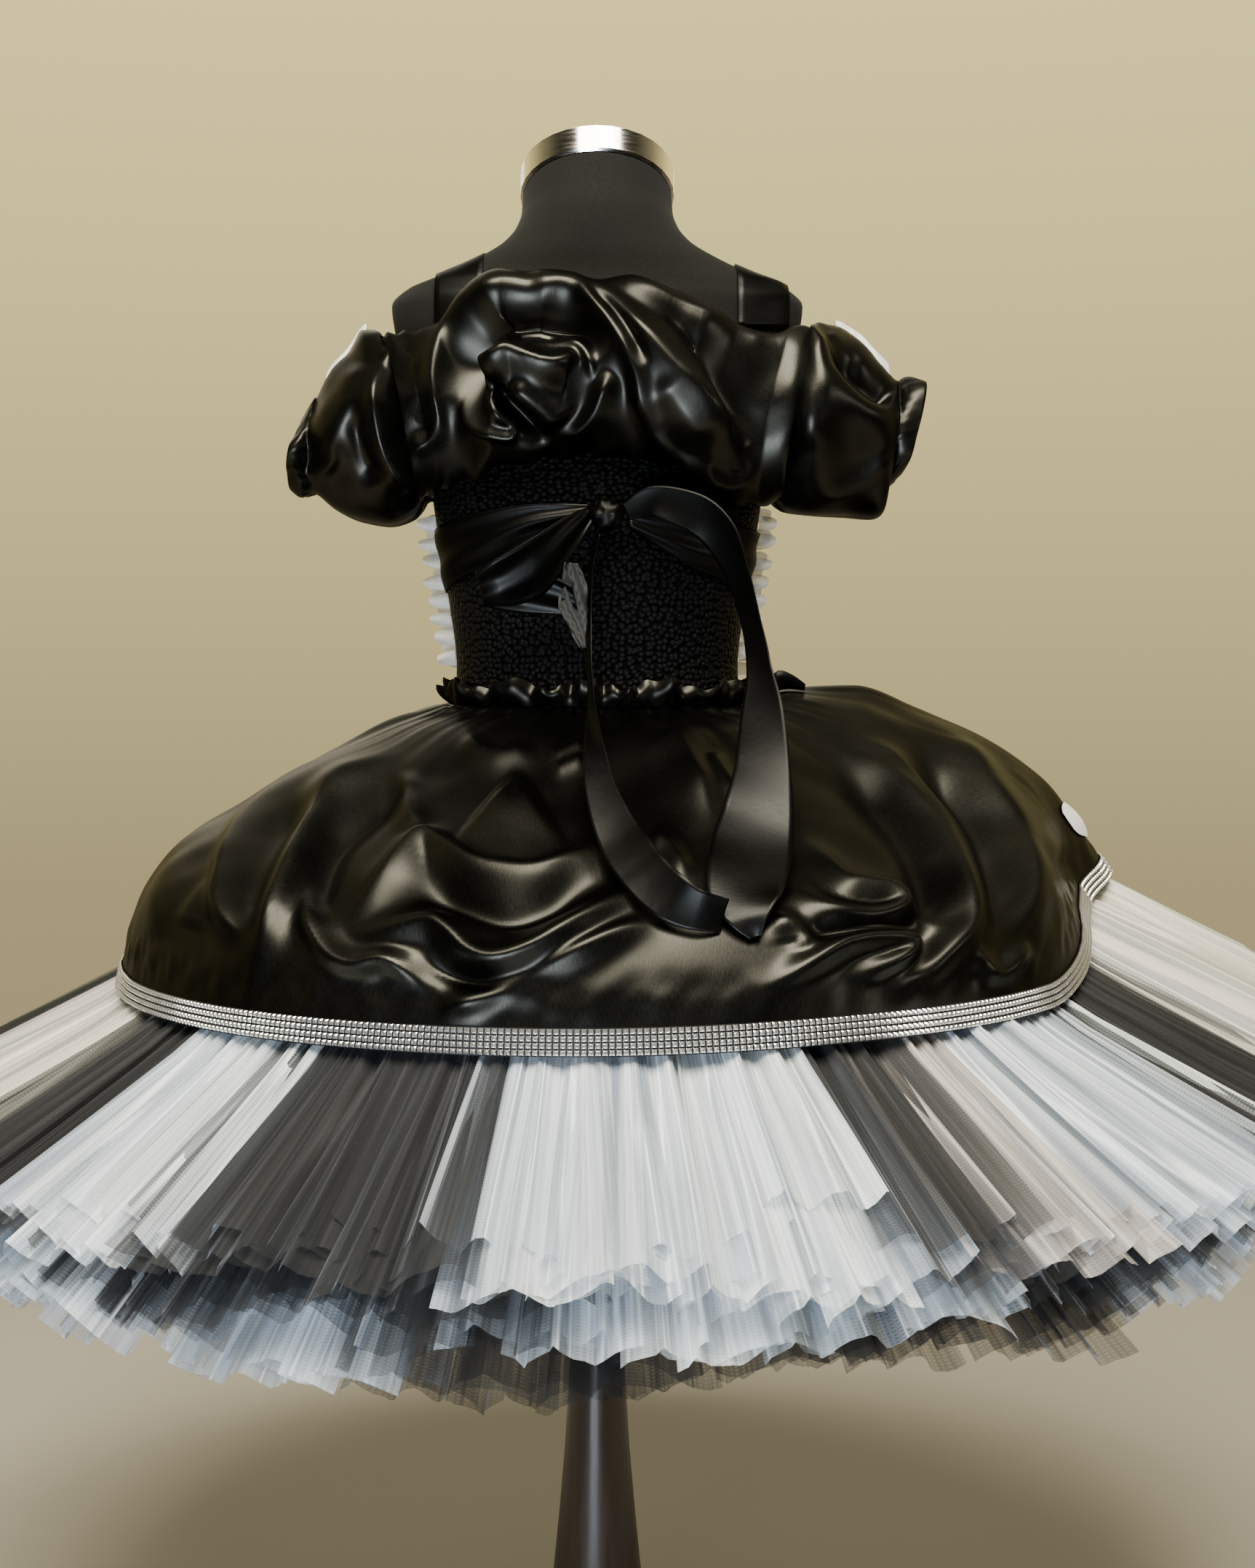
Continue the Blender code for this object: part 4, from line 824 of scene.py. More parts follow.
# Dull reverse of the ribbon for the bow's tail: its lighter base is partly the reverse's own duller grey and
# partly a painted highlight of light on the turned ribbon
REVERSE_AND_HIGHLIGHT_LOOK = satin("ribbon_reverse_painted_highlight", (0.012, 0.012, 0.010), (0.060, 0.058, 0.050), 0.50, 0.0, WARM_GLOSS)
CROCHET_LOOK = crochet()
# Each net: its own colour, the colour of the painted shade between its gathers, and its thinnest and densest
# cover
TULLE_LOOKS = {
    "white": tulle("white_net", (0.90, 0.97, 1.0), (0.38, 0.44, 0.51), 0.26, 0.66),
    "cream": tulle("cream_net", (0.90, 0.87, 0.77), (0.68, 0.65, 0.57), 0.32, 0.62),
    "black": tulle("black_net", (0.020, 0.020, 0.020), (0.006, 0.006, 0.006), 0.30, 0.68),
    "sheer": tulle("sheer_net", (0.56, 0.51, 0.46), (0.36, 0.33, 0.30), 0.32, 0.62),
}
ORGANZA_LOOK = organza("organza", 0.55, 0.85)
STRIP_LOOK = organza("organza_folded", 0.88, 1.0)
STONE_LOOK = metal("stones", (0.86, 0.85, 0.82), 0.06, 1.0, 0.88)
BACKING_LOOK = metal("trim_backing", (0.03, 0.03, 0.03), 0.45, 1.0)
CHROME_LOOK = metal("chrome", (0.78, 0.75, 0.68), 0.10, 1.0)
JERSEY_LOOK = jersey()
WOOD_LOOK = wood()
FLOOR_LOOK = new_look("floor", Base_Color=(0.37, 0.335, 0.265, 1), Roughness=0.8)[0]


# The camera, light, wall and floor
LENS = 49.0
FRAME_SHIFT = 0.0193
LOOKING_DOWN = 3.15
FLOOR_RADIUS = 1.75
FLOOR_MIDDLE = (0, -0.75, -0.0005)

Lamp = namedtuple("Lamp", "name place aim size power colour")
LAMPS = rows_of(Lamp, [
    ("key", (0.15, 1.55, 2.8), (0, 0.1, 0.70), 1.7, 195, (1.0, 0.95, 0.82)),
    ("top", (-0.5, 0.7, 2.6), (0, 0.0, 0.70), 0.6, 20, (1.0, 0.96, 0.86)),
    ("low", (0.3, 1.7, 0.05), (0, 0.3, 0.45), 0.7, 34, (0.76, 0.86, 1.0)),
    ("side", (-2.2, 0.9, 1.0), (0, 0, 0.75), 0.5, 5, (1.0, 0.97, 0.90)),
    ("front", (0.4, -2.6, 1.9), (0, 0, 0.75), 2.0, 16, (1.0, 0.97, 0.92)),
])

# The wall's colours from low to high, and its strength past the dress and on the side of the camera
WALL_FROM, WALL_TO = -0.5, 1.0
WALL_COLOURS = [
    (0.07, (0.220, 0.172, 0.112)),
    (0.27, (0.330, 0.270, 0.138)),
    (0.39, (0.560, 0.465, 0.205)),
    (0.53, (0.86, 0.71, 0.29)),
    (0.72, (0.42, 0.37, 0.22)),
]
WALL_STRENGTH = 1.4
ROOM_STRENGTH = 0.08
WALL_ENDS, ROOM_STARTS = -0.75, 0.10


def set_stage():
    """Camera behind the dress, soft studio light, a pale wall and a plain floor."""
    camera = bpy.data.cameras.new("camera")
    camera.sensor_width = 36.0
    camera.lens = LENS
    camera.shift_x = FRAME_SHIFT
    eye = bpy.data.objects.new("camera", camera)
    eye.location = (0, EYE_REACH, WAIST_HEIGHT)
    eye.rotation_euler = (math.radians(90 - LOOKING_DOWN), 0, math.radians(180))
    bpy.context.scene.collection.objects.link(eye)
    bpy.context.scene.camera = eye
    for lamp in LAMPS:
        light(lamp)

    world = bpy.data.worlds.new("world")
    world.use_nodes = True
    tree = world.node_tree
    background = tree.nodes["Background"]
    way = node(tree, "SeparateXYZ", {0: node(tree, "TexCoord").outputs["Generated"]}).outputs
    height = ranged(tree, way["Z"], WALL_FROM, WALL_TO, 0.0, 1.0)
    tree.links.new(ramp(tree, height, WALL_COLOURS), background.inputs["Color"])
    strength = ranged(tree, way["Y"], WALL_ENDS, ROOM_STARTS, WALL_STRENGTH, ROOM_STRENGTH)
    tree.links.new(strength, background.inputs["Strength"])
    bpy.context.scene.world = world

    bpy.ops.mesh.primitive_circle_add(
        vertices=128, radius=FLOOR_RADIUS, fill_type="NGON", location=FLOOR_MIDDLE)
    floor = bpy.context.object
    floor.name = "floor"
    floor.data.materials.append(FLOOR_LOOK)


def light(lamp):
    """Square soft light aimed at a point."""
    data = bpy.data.lights.new(lamp.name, "AREA")
    data.size = lamp.size
    data.energy = lamp.power
    data.color = lamp.colour
    thing = bpy.data.objects.new(lamp.name, data)
    thing.location = lamp.place
    thing.rotation_euler = (Vector(lamp.aim) - Vector(lamp.place)).to_track_quat("-Z", "Y").to_euler()
    bpy.context.scene.collection.objects.link(thing)


# The dress form
FORM_BOTTOM = BODY[0].height
FORM_TOP = BODY[-1].height
SHOULDER_START = 0.86
SHARP_RIM = 35


def make_form():
    """Torso in jersey, polished cap, turned pole and base."""
    sides = np.linspace(FORM_BOTTOM, SHOULDER_START, 34)[:-1]
    heights = np.concatenate([sides, np.linspace(SHOULDER_START, FORM_TOP, 60)])
    azimuths = np.linspace(0, 360, 144, endpoint=False)
    torso = body_point(azimuths[None, :], heights[:, None])
    low = body_point(azimuths[None, :], np.full((1, 1), FORM_BOTTOM))
    middle = np.array([0, 0, FORM_BOTTOM])
    torso = np.concatenate([middle + (low - middle) * 0.02, middle + (low - middle) * 0.97, torso])
    cloth("torso", [torso], JERSEY_LOOK, ["form_torso"], around=True, inside=(0, 0, 0.75))

    for name, look in (("neck_cap", CHROME_LOOK), ("pole", WOOD_LOOK), ("base", WOOD_LOOK)):
        make_turned(name, look)


def make_turned(name, look):
    """Round shading over a turned solid of the stand, with its rims kept sharp."""
    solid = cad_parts[f"form_{name}"]
    shape = bmesh.new()
    shape.from_mesh(solid.data)
    shape.transform(solid.matrix_world)
    bmesh.ops.remove_doubles(shape, verts=shape.verts, dist=1e-5)
    for face in shape.faces:
        face.smooth = True
    for edge in shape.edges:
        edge.smooth = edge.calc_face_angle(0) < math.radians(SHARP_RIM)
    mesh = bpy.data.meshes.new(name)
    shape.to_mesh(mesh)
    shape.free()
    placed(name, mesh, look, [solid.name])


# Bodice
# How much the petals of a ruffle differ in height and reach, and how they bend
PETAL_HEIGHT = (0.74, 0.96)
PETAL_REACH = (0.82, 1.08)
PETAL_BEND = 0.0034
PETAL_LEAN = 0.0012
PETAL_SLIP = 0.0007


def make_bodice():
    """Crochet tube, its side ruffles and the straps over the shoulders."""
    heights = np.linspace(BODICE_TOP, BODICE_BOTTOM, 90)[:, None]
    azimuths = np.linspace(0, 360, 260, endpoint=False)[None, :]
    grid = body_point(azimuths, heights, BODICE_OUT)
    cloth("crochet_tube", [grid], CROCHET_LOOK, ["bodice"], around=True, inside=(0, 0, 0.74))

    u = np.linspace(-1, 1, 15)[None, :]
    v = np.linspace(0, 1, 9)[:, None]
    pitch = (RUFFLE_TOP - RUFFLE_BOTTOM) / RUFFLE_LOBES
    for name, side in (("left", 1), ("right", -1)):
        chance = np.random.default_rng(7 + side)
        grids = []
        for i in range(2 * RUFFLE_LOBES - 1):
            near = i % 2 == 0
            middle = RUFFLE_TOP - pitch * (0.5 + i / 2) + chance.normal(0, PETAL_SLIP)
            opening = 0.60 + 0.40 * np.sin(0.5 * math.pi * v)
            height = middle + 0.5 * pitch * chance.uniform(*PETAL_HEIGHT) * u * opening
            reach = RUFFLE_DEPTH * chance.uniform(*PETAL_REACH) * v * (1 - np.abs(u) ** 3.2) ** 0.42
            swing = RUFFLE_CURL * v * (1 - np.cos(0.5 * math.pi * u)) * (-1 if near else 1)
            azimuth = RUFFLE_AZIMUTH - (0 if near else RUFFLE_SWING) + swing
            grid = body_point(side * azimuth, height, RUFFLE_OUT + reach)
            grid[..., 1] += v * (PETAL_BEND * np.cos(0.5 * math.pi * u) + chance.normal(0, PETAL_LEAN) * u)
            grid[..., 2] += PETAL_LEAN * v**2 * chance.normal(0, 1)
            grids.append(grid)
        cloth(f"ruffle_{name}", grids, ORGANZA_LOOK, [f"side_ruffle_{name}"], inside=(0, 0, 0.74))

    for strap in STRAPS:
        lean = np.radians(np.linspace(-STRAP_LEAN, STRAP_LEAN, 60))
        rows = []
        for across in np.linspace(strap.near, strap.far, 9):
            rows.append([on_torso(across, a, strap.out) for a in lean])
        cloth(f"strap_{strap.name}_satin", [np.array(rows)], RIBBON_LOOK, [f"strap_{strap.name}"],
              inside=(0, 0, 0.88), thickness=0.0007)


def on_torso(across, lean, out):
    """Point on the form's shoulder where a ray towards the strap's pivot meets it, moved out."""
    aim = np.array([0, -math.sin(lean), -math.cos(lean)])
    near, far = 0.0, 0.12
    pivot = np.array([across, *STRAP_PIVOT])
    for _ in range(18):
        middle = (near + far) / 2
        p = pivot - aim * middle
        section = row_at(BODY, p[2])
        beyond = p[2] > BODY[-1].height
        inside = (abs(p[0] / section.half_width) ** section.squareness
                  + abs((p[1] - section.centre) / section.half_depth) ** section.squareness) < 1
        if inside and not beyond:
            near = middle
        else:
            far = middle
    return pivot - aim * (near + out)


# Overskirt
SKIRT_INSIDE = (0, 0, 0.45)
WAIST_GATHERS = (0.0022, 0.0009)
FRONT_FOLDS = (0.0065, 0.0035)
HEM_PUCKER = 0.0011
HEADING_FLARE = (0.0046, 0.0018)
HEADING_TALL = 0.0135


def skirt_rest(azimuth, share):
    """Overskirt before its folds."""
    around = row_at(AROUND, wrapped(azimuth))
    dome = row_at(DOME, share)
    reach = dome.reach + around.lifted * (dome.lifted_reach - dome.reach)
    drop = dome.drop + around.lifted * (dome.lifted_drop - dome.drop)
    waist = body_radius(azimuth, SKIRT_TOP, SKIRT_OUT)
    radius = waist + reach * (around.hem_reach - waist)
    height = SKIRT_TOP - drop * (SKIRT_TOP - around.hem_height)
    a = np.radians(azimuth)
    return points(radius * np.sin(a), radius * np.cos(a), height)


def skirt_grid():
    """Outer points of the overskirt with its folds, gathers at the waist and puckers above the hem."""
    behind = np.linspace(-100, 100, 330, endpoint=False)
    before = np.linspace(100, 260, 110, endpoint=False)
    az, share = np.meshgrid(np.concatenate([behind, before]), np.linspace(0, 1, 132))
    grid = skirt_rest(az, share)
    out = facing_out(grid, True, SKIRT_INSIDE)
    held = np.sin(math.pi * np.minimum(0.5, 1.6 * share))
    held = held * np.sin(math.pi * np.minimum(0.5, 0.08 + 2.4 * (1 - share)))
    back = smoothstep(-0.20, 0.05, np.cos(np.radians(az)))
    lift = back * relief(grid, SKIRT_CRESTS)
    hidden = 1 - back
    grow = np.sin(math.pi * np.minimum(1.0, 0.15 + 0.8 * share))
    sway = np.radians(az + 9 * np.sin(3.1 * share) + 5 * np.sin(np.radians(3 * az)))
    wide, narrow = FRONT_FOLDS
    swell = wide * np.abs(np.sin(6.5 * sway + 0.4)) ** 1.3 + narrow * np.sin(15 * sway) - 0.002
    lift += hidden * grow * swell
    gathers = np.exp(-((share / 0.10) ** 1.3)) * smoothstep(0, 0.02, share)
    wide, narrow = WAIST_GATHERS
    lift += gathers * (wide * np.sin(np.radians(34 * az + 70 * np.sin(np.radians(3 * az))))
                       + narrow * np.sin(np.radians(67 * az + 90 * np.sin(np.radians(5 * az)))))
    pucker = np.exp(-(((share - 0.90) / 0.045) ** 2))
    lift += pucker * HEM_PUCKER * uneven(grid, 0.018, 5)
    lift += 0.0006 * uneven(grid, 0.050, 3) * held
    return grid + out * (lift * np.maximum(held, gathers) - BETWEEN_CRESTS * held * back)[..., None]


def make_overskirt():
    """Overskirt, its heading and the stone trim."""
    grid = skirt_grid()
    skirt = cloth("overskirt_satin", [grid], SATIN_LOOK, ["overskirt"], around=True, inside=SKIRT_INSIDE)

    columns = 640
    azimuth = 360.0 * np.arange(columns)[None, :] / columns
    up = np.linspace(0, 1, 7)[:, None]
    wave = np.sin(np.radians(19 * azimuth + 60 * np.sin(np.radians(3 * azimuth))))
    small = np.sin(np.radians(43 * azimuth + 110 * np.sin(np.radians(5 * azimuth)) + 50 * up))
    tall = HEADING_TALL * (1 + 0.22 * np.sin(np.radians(11 * azimuth + 40)) + 0.10 * small)
    height = SKIRT_TOP + 0.0010 + tall * up
    flare = up * (HEADING_FLARE[0] * wave + HEADING_FLARE[1] * small)
    reach = SKIRT_OUT + SATIN + 0.0055 * np.sin(2.2 * up) + flare
    heading = body_point(azimuth, height, np.maximum(reach, SKIRT_OUT + 0.0004))
    cloth("heading_satin", [heading], SATIN_LOOK, ["overskirt_heading"], around=True, inside=(0, 0, 0.68))
    make_hem_trim(grid)
    return skirt


STONE_ROWS = 4
STONE_SHARE = 0.40
STONE_RINGS = ((0.86, 0.0007), (0.50, 0.0013))
STONE_SIDES = 8
STONE_OFF = 0.0009


def make_hem_trim(grid):
    """Band with rows of square-set stones along the hem."""
    hem = grid[-1]
    drop = grid[-1] - grid[-9]
    drop /= length_of(drop)
    out = facing_out(grid, True, SKIRT_INSIDE)[-3]
    inner = hem + out * 0.0006
    rows = [inner - drop * HEM_BAND * s for s in np.linspace(1.02, -0.01, 4)]
    cloth("trim_band", [np.array(rows)], BACKING_LOOK, around=True, inside=SKIRT_INSIDE)

    walked = along_line(np.concatenate([hem, hem[:1]]))
    pitch = HEM_BAND / STONE_ROWS
    count = int(walked[-1] / pitch)
    at = (np.arange(count) + 0.5) * walked[-1] / count
    closed = [np.concatenate([a, a[:1]]) for a in (hem, drop, out)]
    base, down, normal = [np.stack([np.interp(at, walked, a[:, k]) for k in range(3)], -1) for a in closed]
    down /= length_of(down)
    normal -= down * np.sum(normal * down, -1, keepdims=True)
    normal /= length_of(normal)
    side = np.cross(down, normal)
    corners, faces = stone_shape(pitch)
    verts, quads = [], []
    start = 0
    for row in range(STONE_ROWS):
        middle = base - down * (row + 0.5) * pitch + normal * STONE_OFF
        place = (middle[:, None] + side[:, None] * corners[None, :, :1]
                 + down[:, None] * corners[None, :, 1:2] + normal[:, None] * corners[None, :, 2:])
        verts.append(place.reshape(-1, 3))
        for i in range(count):
            quads += [[start + i * len(corners) + v for v in face] for face in faces]
        start += count * len(corners)
    mesh = bpy.data.meshes.new("trim_stones")
    mesh.from_pydata(np.concatenate(verts).tolist(), [], quads)
    stones = placed("trim_stones", mesh, STONE_LOOK, ["hem_trim"])


def stone_shape(pitch):
    """Points and faces of one stone: a square setting and a faceted eight-sided top."""
    half = STONE_SHARE * pitch
    low = [(x * half, y * half, 0) for x, y in ((-1, -1), (1, -1), (1, 1), (-1, 1))]
    ring = []
    n = STONE_SIDES
    for radius, height in STONE_RINGS:
        for i in range(n):
            a = math.radians(22.5 + 45 * i)
            ring.append((radius * half * math.cos(a), radius * half * math.sin(a), height))
    corners = np.array(low + ring)
    first = 4
    top = first + n
    faces = [[first + i, first + (i + 1) % n, top + (i + 1) % n, top + i] for i in range(n)]
    faces.append([top + i for i in range(n)])
    # the square's corners meet two sides of the ring each; the ring starts in the first quarter
    for q, corner in enumerate((2, 3, 0, 1)):
        beside = first + (2 * q + 1) % n
        faces.append([corner, first + 2 * q, beside])
        faces.append([corner, beside, first + (2 * q + 2) % n, (corner + 1) % 4])
    return corners, faces


# Tulle
STRIP_GRID = (16, 27)
STRIP_WIDTH = (1.3, 2.1)
STRIP_LONGER = (-0.003, 0.013)
STRIP_LIMITS = (-0.04, 0.010)
STRIP_SKEW = 0.014
STRIP_PLEATS = (1.6, 3.4)
PLEAT_RISE = (0.0028, 0.0042)
PLEAT_FINE = 0.0016
LAYER_GAP = 0.0026
END_SWING = 0.0035
TIER_INSIDE = (0, 0, 0.30)


def tulle_point(tier, azimuth, share, length):
    """Middle of a tier of tulle from the waist, under the overskirt's hem, to its cut end."""
    around = row_at(AROUND, wrapped(azimuth))
    waist = body_radius(azimuth, tier.start + 0 * azimuth, TULLE_OUT)
    reach = around.hem_reach - waist
    drop = tier.start - (around.hem_height - UNDER_HEM)
    inner = np.hypot(reach, drop)
    fall = np.radians(around.fall)
    at = share * length
    first = np.clip(at / inner, 0, 1)
    beyond = np.maximum(at - inner, 0)
    out = first * reach + beyond * np.cos(fall)
    down = first * drop + beyond * np.sin(fall)
    turn = np.radians(tier.steeper)
    radius = waist + out * np.cos(turn) - down * np.sin(turn)
    height = tier.start - out * np.sin(turn) - down * np.cos(turn)
    a = np.radians(azimuth)
    return points(radius * np.sin(a), radius * np.cos(a), height)


def colour_at(tier, azimuth):
    """Colour of the group of strips that an azimuth lies in."""
    azimuth = (azimuth - tier.groups[0][1]) % 360 + tier.groups[0][1]
    return [colour for colour, start in tier.groups if start <= azimuth][-1]


def strip_grid(tier, middle, layer, chance):
    """One knotted strip of net: gathered at the waist, opening in uneven pleats to a cut end."""
    rows, columns = STRIP_GRID
    width = 360.0 / tier.strips * chance.uniform(*STRIP_WIDTH)
    s = np.linspace(-0.5, 0.5, columns)[None, :]
    share = np.linspace(0, 1, rows)[:, None] ** 0.9
    length = tier.length + np.clip(chance.normal(*STRIP_LONGER), *STRIP_LIMITS)
    length = length + chance.normal(0, STRIP_SKEW) * s
    opening = 0.58 + 0.42 * smoothstep(0.1, 1.0, share)
    pleats = chance.uniform(*STRIP_PLEATS)
    phase = chance.uniform(0, 2 * math.pi)
    bend = 2 * math.pi * pleats * (s + 0.05 * np.sin(6 * s + phase)) + phase
    folded = s + 0.05 * smoothstep(0.2, 0.8, share) * np.sin(2 * bend) / pleats
    azimuth = middle + chance.normal(0, 0.8) * share + width * folded * opening
    grid = tulle_point(tier, azimuth, share + 0 * s, length + 0 * share)
    out = facing_out(grid, False, TIER_INSIDE)
    rise = PLEAT_RISE[0] * share + PLEAT_RISE[1] * share**3
    lift = PLEAT_FINE * share * np.sin(2.7 * bend) + rise * np.sin(bend)
    lift += LAYER_GAP * layer * smoothstep(0.1, 0.6, share) + chance.normal(0, END_SWING) * share**2
    return grid + out * lift[..., None]


def make_tulle():
    """Three tiers of knotted strips of net, one piece for each colour of a tier."""
    for t, tier in enumerate(TIERS):
        chance = np.random.default_rng(40 + t)
        made = {}
        for layer in (-1, 0, 1):
            for i in range(tier.strips):
                middle = 360.0 * (i + layer / 3 + chance.uniform(-0.2, 0.2)) / tier.strips
                made.setdefault(colour_at(tier, middle), []).append(strip_grid(tier, middle, layer, chance))
        for colour, grids in made.items():
            nodes = [n for n in nodes_named(f"tulle_{tier.name}_") if n.endswith(colour)]
            cloth(f"tulle_{colour}_{tier.name}", grids, TULLE_LOOKS[colour], nodes, inside=TIER_INSIDE)


# Shoulders
def armhole_shift(up, back):
    """How far out a point of the armhole lies."""
    return ARMHOLE_SLANT * up - ARMHOLE_BEND * np.abs(back)


def armhole_fill(grid):
    """Piece swelled beside the armhole's seam, most at the back, where bertha and sleeve meet."""
    swell = np.where(grid[..., 0] > 0, ARMHOLE_FILL[1], ARMHOLE_FILL[-1])
    beyond = np.abs(grid[..., 0]) - ARMHOLE_SEAM
    near = np.exp(-((beyond / np.where(beyond > 0, *ARMHOLE_REACH)) ** 2))
    spoke = grid[..., 1:] - np.array([ARMHOLE_MIDDLE, ARM_HEIGHT])
    spoke = spoke / length_of(spoke)
    facing = smoothstep(-0.15, 0.55, spoke[..., 0]) + 0.5 * smoothstep(0.15, 0.55, -spoke[..., 0])
    filled = grid.copy()
    filled[..., 1:] += spoke * (1, 0.3) * (swell * near * facing)[..., None]
    return filled


def puff_grid(table, facing, rows, columns, crests):
    """Outer points of a puffed piece across the back (facing 1) or the front (facing -1)."""
    first, last = table[0].across, table[-1].across
    c = np.linspace(0, 1, columns)[None, :]
    r = np.linspace(0, 1, rows)[:, None]
    puff = row_at(table, first + (last - first) * (1 - np.cos(math.pi * c)) / 2)
    angle = np.radians(puff.top_angle + (puff.bottom_angle - puff.top_angle) * r)
    middle = (puff.top + puff.bottom) / 2
    back = puff.reach - puff.depth + puff.depth * np.cos(angle)
    height = middle + (puff.top - puff.bottom) / 2 * np.sin(angle)
    near_end = np.maximum(0.0, 1 - (abs(last) - np.abs(puff.across)) / PUFF_END)
    side = np.where(puff.across > 0, 1, -1)
    off = SEAT + PUFF_RISE * np.sin(math.pi * r) / 2
    back = softly_over(back, body_back(puff.across + 0 * r, height, facing, off))
    shift = near_end * armhole_shift(height - middle, facing * back - ARMHOLE_MIDDLE)
    across = puff.across + side * shift
    back = softly_over(back, body_back(across, height, facing, off), 0.004)
    across = across + side * ARMHOLE_LAP * smoothstep(0.85, 1.0, near_end)
    grid = armhole_fill(points(across, facing * back, height))
    out = normals(grid, False)
    if out[rows // 2, columns // 2, 1] * facing < 0:
        out = -out
    held = np.sin(math.pi * r) ** 0.6
    ends = 0.4 + 0.6 * smoothstep(0, 0.08, np.minimum(c, 1 - c))
    if crests:
        lift = relief(grid, crests)
    else:
        lift = 0.005 * np.sin(22 * c + 3 * np.sin(4 * r)) + 0.003 * np.sin(41 * c - 5 * r)
    edge = np.exp(-((r / 0.10) ** 1.5)) + np.exp(-(((1 - r) / 0.10) ** 1.5))
    lift = lift * held + EDGE_GATHER * edge * np.sin(95 * c + 4 * np.sin(11 * c))
    lift = lift + 0.0010 * uneven(grid, 0.03, 8) * held
    return grid + out * (lift * ends)[..., None]


def sleeve_point(table, side, share, angle):
    """Point of a sleeve: share of the way from armhole to ruffle, angle from the top towards the back."""
    barrel = row_along(table, share)
    a = np.radians(angle)
    half = (barrel.top - barrel.bottom) / 2
    up = half * np.cos(a)
    back = barrel.half_depth * np.sin(a)
    x = side * (barrel.reach + armhole_shift(up, back) * (1 - share) ** 2)
    return points(x, barrel.middle + back, (barrel.top + barrel.bottom) / 2 + up)


def sleeve_grid(table, side, crests):
    """Points of a sleeve with gathers at armhole and cuff and a ruffled end."""
    share = np.linspace(0, 1, 76)[:, None]
    angle = np.linspace(0, 360, 190, endpoint=False)[None, :]
    point = sleeve_point(table, side, share, angle)
    highest, lowest = [sleeve_point(table, side, share, 0 * angle + a) for a in (0, 180)]
    middle = (highest + lowest) / 2
    spoke = (point - middle) / length_of(point - middle)
    point = armhole_fill(point)
    ruffle = smoothstep(0.84, 1.0, share)
    gather = 0.15 * np.exp(-(((share - 0.86) / 0.09) ** 2)) + 0.5 * np.exp(-((share / 0.13) ** 1.6))
    turned = np.radians(angle)
    wide, narrow = RUFFLE_WAVES
    lift = SLEEVE_SWAY * np.sin(5 * turned + 0.7) * np.sin(math.pi * share)
    lift = lift + ruffle * (wide * np.sin(4 * turned + side) + narrow * np.sin(9 * turned + 1))
    wide, narrow = SLEEVE_GATHERS
    lift += gather * (wide * np.sin(17 * turned + 2 * np.sin(3 * turned)) + narrow * np.sin(31 * turned))
    lift += CUFF_FILL * np.exp(-(((share - 0.89) / 0.12) ** 2))
    body = (0.4 + 0.6 * smoothstep(0, 0.12, share)) * smoothstep(0.95, 0.80, share)
    behind = smoothstep(-0.2, 0.3, np.sin(turned))
    lift += behind * body * relief(point, crests)
    lift += (1 - behind) * body * FRONT_SWAY * np.sin(6 * turned + 5 * share)
    top, bottom = CUFF_DRAWN[side]
    drawn = smoothstep(0.55, 1.0, share) * (top * (1 + np.cos(turned)) + bottom * (1 - np.cos(turned))) / 2
    return point + spoke * lift[..., None] - points(side * drawn, 0, 0)


def make_shoulders():
    """Puffed back and front, sleeves and the white strips above them."""
    back = puff_grid(BERTHA_BACK, 1, 110, 300, BERTHA_CRESTS)
    cloth("bertha_back_satin", [back], SATIN_LOOK, ["bertha_back"], inside=(0, 0.02, 0.86))
    front = puff_grid(BERTHA_FRONT, -1, 60, 160, None)
    cloth("bertha_front_satin", [front], SATIN_LOOK, ["bertha_front"], inside=(0, -0.02, 0.86))
    for name, side, table, crests in (("left", 1, SLEEVE_LEFT, SLEEVE_LEFT_CRESTS),
                                      ("right", -1, SLEEVE_RIGHT, SLEEVE_RIGHT_CRESTS)):
        grid = sleeve_grid(table, side, crests)
        cloth(f"sleeve_{name}_satin", [grid], SATIN_LOOK, [f"sleeve_{name}"], around=True,
              inside=(side * 0.155, 0, 0.85), thickness=0.0008)
        make_edging(name, grid)


def make_edging(name, sleeve):
    """White strip on top of a sleeve, its near edge standing just above the sleeve's outline."""
    start, end, tip = EDGINGS[name]
    across, up = seen_from_behind(sleeve)
    line = []
    for x in np.linspace(start, end, 26):
        beside = np.where(np.abs(across - x) < 1.5, up, -1e9)
        line.append(sleeve.reshape(-1, 3)[np.argmax(beside)])
    line = np.array(line)
    kernel = np.ones(7) / 7
    smooth = [np.convolve(np.pad(line[:, k], 3, mode="edge"), kernel, mode="valid") for k in range(3)]
    line = np.stack(smooth, -1)
    share = np.linspace(0, 1, len(line))[:, None]
    rise = np.array([0.0, 0.0, 1.0]) * (EDGING_RISE + 0.0030 * share * tip)
    fringe = np.array([0.0, 1.0, 0.0]) * 0.001 * np.sin(16 * share)
    rows = [line + rise * a + fringe * a + np.array([0.0, back, 0.0])
            for a, back in ((1.0, -0.010), (0.95, -0.004), (0.35, 0.0015), (-0.25, 0.003))]
    cloth(f"edging_{name}", [np.array(rows)], STRIP_LOOK, [f"sleeve_edging_{name}"], inside=(0, 0, 0.70))


# Ribbons
WIDTH_STEPS = 13
STRAND_CURL = 0.0009
RIBBON_THICK = 0.0006


